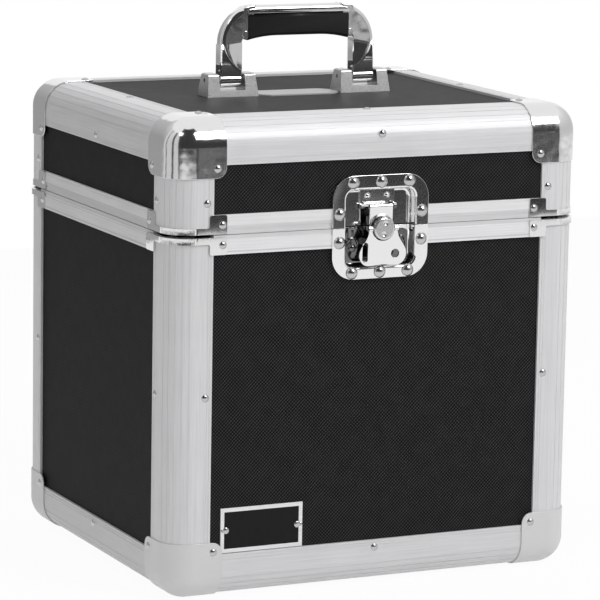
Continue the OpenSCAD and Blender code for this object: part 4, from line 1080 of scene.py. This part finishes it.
bend_outline = (arc_points(bend_x, bend_z, bow_bend, 90, 6, 22)
                + arc_points(bend_x, bend_z + bend_drop, bow_bend + bend_spread, -6, -66.8, 16)
                + [(leg_in, bend_z)]
                + arc_points(bend_x, bend_z, bow_bend - bow_leg, 0, 60, 8))
leg_outline = [(bow_half, leg_top), (bow_half, barrel_z), (leg_in, barrel_z), (leg_in, leg_top)]
mesh = bmesh.new()
for side in (-1, 1):
    thick_shape(mesh, [(side * x, z) for x, z in bend_outline], bend_depth, on_outer_bend, outer_round)
    thick_shape(mesh, [(side * x, z) for x, z in leg_outline], leg_depth, on_outer_leg, leg_round)
    rounded_rod(mesh, (bow_x + side * (bow_half - bow_leg / 2), bow_y, barrel_z), barrel_r, bow_leg, "Y")
    rounded_rod(mesh, (bow_x + side * curl_out, bow_y, curl_z), curl_r, strip_depth, "X")
strip_end = arc_points(bend_x, bend_z, bow_bend, 76, 90, 6)
strip_foot = bow_high.z - bow_strip
strip_outline = (strip_end + [(-x, z) for x, z in reversed(strip_end)]
                 + [(-strip_end[0][0], strip_foot), (strip_end[0][0], strip_foot)])
thick_shape(mesh, strip_outline, strip_depth, lambda point: point.z > strip_foot + bow_strip / 2,
            outer_round)
bow = put_in_scene("bow", mesh)
stand_in(bow, "handle_bow", "handle", bow_finish)
even(bow)
eased("handle_pins", "bow_pins", "lid", bow_finish, bow_pin_edge)

# ---------------------------------------------------------------------------
# Brackets. Two cast and plated blocks, screwed to the lid from below, which
# hold the pins of the handle.
# ---------------------------------------------------------------------------
bracket_finish = plated_steel("bracket_plating", 0.6, 0.3, 0.04 * mm, 14 * mm)
bracket_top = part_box("handle_brackets")[1].z
bracket_edge = 0.6 * mm
crest_round = 2.2 * mm
crest_steps = 5
crest_slack = 0.05 * mm
brackets = merged_copy("handle_brackets", "brackets")
mesh = reopened(brackets)
crests = [edge for edge in mesh.edges
          if all(vert.co.z > bracket_top - crest_slack for vert in edge.verts)]
round_off(mesh, crests, crest_round, crest_steps)
put_back(mesh, brackets)
stand_in(brackets, "handle_brackets", "lid", bracket_finish)
ease(brackets, bracket_edge)

# ---------------------------------------------------------------------------
# Grip. Black rubber, moulded round the bow's strip, with a flat arched foot
# that fits the fingers.
# ---------------------------------------------------------------------------
grip_arch = 3.6 * mm
grip_flare = 28 * mm
grip_half = (grip_high.x - grip_low.x) / 2
grip_foot = grip_low.z - grip_arch
grip_depth = strip_depth + 1.4 * mm
grip_round = 3 * mm
grip_steps = 40
under = []
for step in range(grip_steps + 1):
    x = -grip_half + 2 * grip_half * step / grip_steps
    end_share = max(0, 1 - (grip_half - abs(x)) / grip_flare)
    under.append((x, grip_foot + grip_arch * (1 - end_share ** 2)))
mesh = bmesh.new()
thick_shape(mesh, under + [(grip_half, strip_foot), (-grip_half, strip_foot)], grip_depth,
            lambda point: abs(abs(point.x - bow_x) - grip_half) > side_slack, grip_round)
grip = put_in_scene("grip", mesh)
stand_in(grip, "handle_grip", "handle", rubber_finish)
even(grip)

# ---------------------------------------------------------------------------
# Handle plate. A thin drawn aluminium plate on the lid between the handle's
# brackets. It is left bare.
# ---------------------------------------------------------------------------
handle_plate_dark = (0.38, 0.38, 0.385)
handle_plate_light = (0.55, 0.55, 0.56)
dress(drawn_aluminium("handle_plate_metal", along_x, handle_plate_dark, handle_plate_light),
      "handle_plate")

# ---------------------------------------------------------------------------
# Badge plate. An aluminium frame round a black field at the foot of the
# front, held by two domed rivets. Its field is left bare.
# ---------------------------------------------------------------------------
badge_low, badge_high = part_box("badge_plate")
badge_edge = 0.15 * mm
field_behind = 0.3 * mm
field_facing = 0.9
field_dark = (0.006, 0.006, 0.006)
field_light = (0.012, 0.012, 0.012)
badge_rivet_r = 2.9 * mm
badge_rivet_h = 1.1 * mm
badge_rivet_in = 4.8 * mm
badge_rivet_sunk = 0.1 * mm


def black_field(name):
    """The smooth black paint of the badge's field."""
    finish, tree, shader = start_finish(name, Roughness=0.5, Specular_IOR_Level=0.15)
    place = node(tree, "TexCoord")
    grain = node(tree, "TexNoise", {"Vector": place.outputs["Object"], "Scale": 500, "Detail": 2.0})
    tree.links.new(shades(tree, grain.outputs[0], field_dark, field_light), shader.inputs["Base Color"])
    return finish


# The frame takes the front rims' painted light.
plate_finish = drawn_aluminium("plate_aluminium", along_x, lit_front_rim_dark, lit_front_rim_light)
badge = eased("badge_plate", "badge", "case", plate_finish, badge_edge)
badge.data.materials.append(black_field("badge_field"))
badge.data.materials.append(rivet_finish)
for face in badge.data.polygons:
    if face.normal.y < -field_facing and face.center.y > badge_low.y + field_behind:
        face.material_index = 1
mesh = reopened(badge)
for rivet_x in (badge_low.x + badge_rivet_in, badge_high.x - badge_rivet_in):
    dome = Matrix.Diagonal((badge_rivet_r, badge_rivet_h, badge_rivet_r, 1))
    place = Matrix.Translation((rivet_x, badge_low.y + badge_rivet_sunk, (badge_low.z + badge_high.z) / 2))
    made = bmesh.ops.create_uvsphere(mesh, u_segments=32, v_segments=16, radius=1,
                                     matrix=place @ dome)["verts"]
    for face in {face for vert in made for face in vert.link_faces}:
        face.material_index = 2
        face.smooth = True
put_back(mesh, badge)

# ---------------------------------------------------------------------------
# Lining. Sheets of charcoal foam, glued flat to the panels, with soft cut
# edges and an open fine cell.
# ---------------------------------------------------------------------------
foam_t = 5 * mm
foam_joint = 0.3 * mm
foam_edge = 1.8 * mm
foam_dark = (0.02, 0.02, 0.021)
foam_light = (0.05, 0.05, 0.052)


def cut_foam(name):
    """Charcoal foam with fine open cells."""
    finish, tree, shader = start_finish(name, Roughness=0.95)
    place = node(tree, "TexCoord")
    cells = node(tree, "TexVoronoi", {"Vector": place.outputs["Object"], "Scale": 1100})
    cloud = node(tree, "TexNoise", {"Vector": place.outputs["Object"], "Scale": 60, "Detail": 3.0})
    height = node(tree, "Math", {0: cells.outputs["Distance"], 1: cloud.outputs[0]}, operation="ADD")
    tree.links.new(shades(tree, height.outputs[0], foam_dark, foam_light), shader.inputs["Base Color"])
    relief = node(tree, "Bump", {"Height": height.outputs[0], "Strength": 0.6, "Distance": 0.3 * mm})
    tree.links.new(relief.outputs[0], shader.inputs["Normal"])
    return finish


def foam_sheet(mesh, low, high):
    """Adds one sheet with rounded edges between two corners."""
    made = add_block(mesh, low, high)
    round_off(mesh, list({edge for vert in made for edge in vert.link_edges}), foam_edge, small_steps)


foam_finish = cut_foam("lining_foam")
for lining, body, flat_side in (("body_lining", "case", 1), ("lid_lining", "lid", -1)):
    low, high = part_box(lining)
    flat_low, flat_high = low.copy(), high.copy()
    wall_low, wall_high = low.copy(), high.copy()
    if flat_side > 0:
        flat_high.z = low.z + foam_t
        wall_low.z = flat_high.z + foam_joint
    else:
        flat_low.z = high.z - foam_t
        wall_high.z = flat_low.z - foam_joint
    mesh = bmesh.new()
    foam_sheet(mesh, flat_low, flat_high)
    for y_low, y_high in ((low.y, low.y + foam_t), (high.y - foam_t, high.y)):
        foam_sheet(mesh, Vector((low.x, y_low, wall_low.z)), Vector((high.x, y_high, wall_high.z)))
    for x_low, x_high in ((low.x, low.x + foam_t), (high.x - foam_t, high.x)):
        foam_sheet(mesh, Vector((x_low, low.y + foam_t + foam_joint, wall_low.z)),
                   Vector((x_high, high.y - foam_t - foam_joint, wall_high.z)))
    sheets = put_in_scene(lining.replace("lining", "foam"), mesh)
    stand_in(sheets, lining, body, foam_finish)
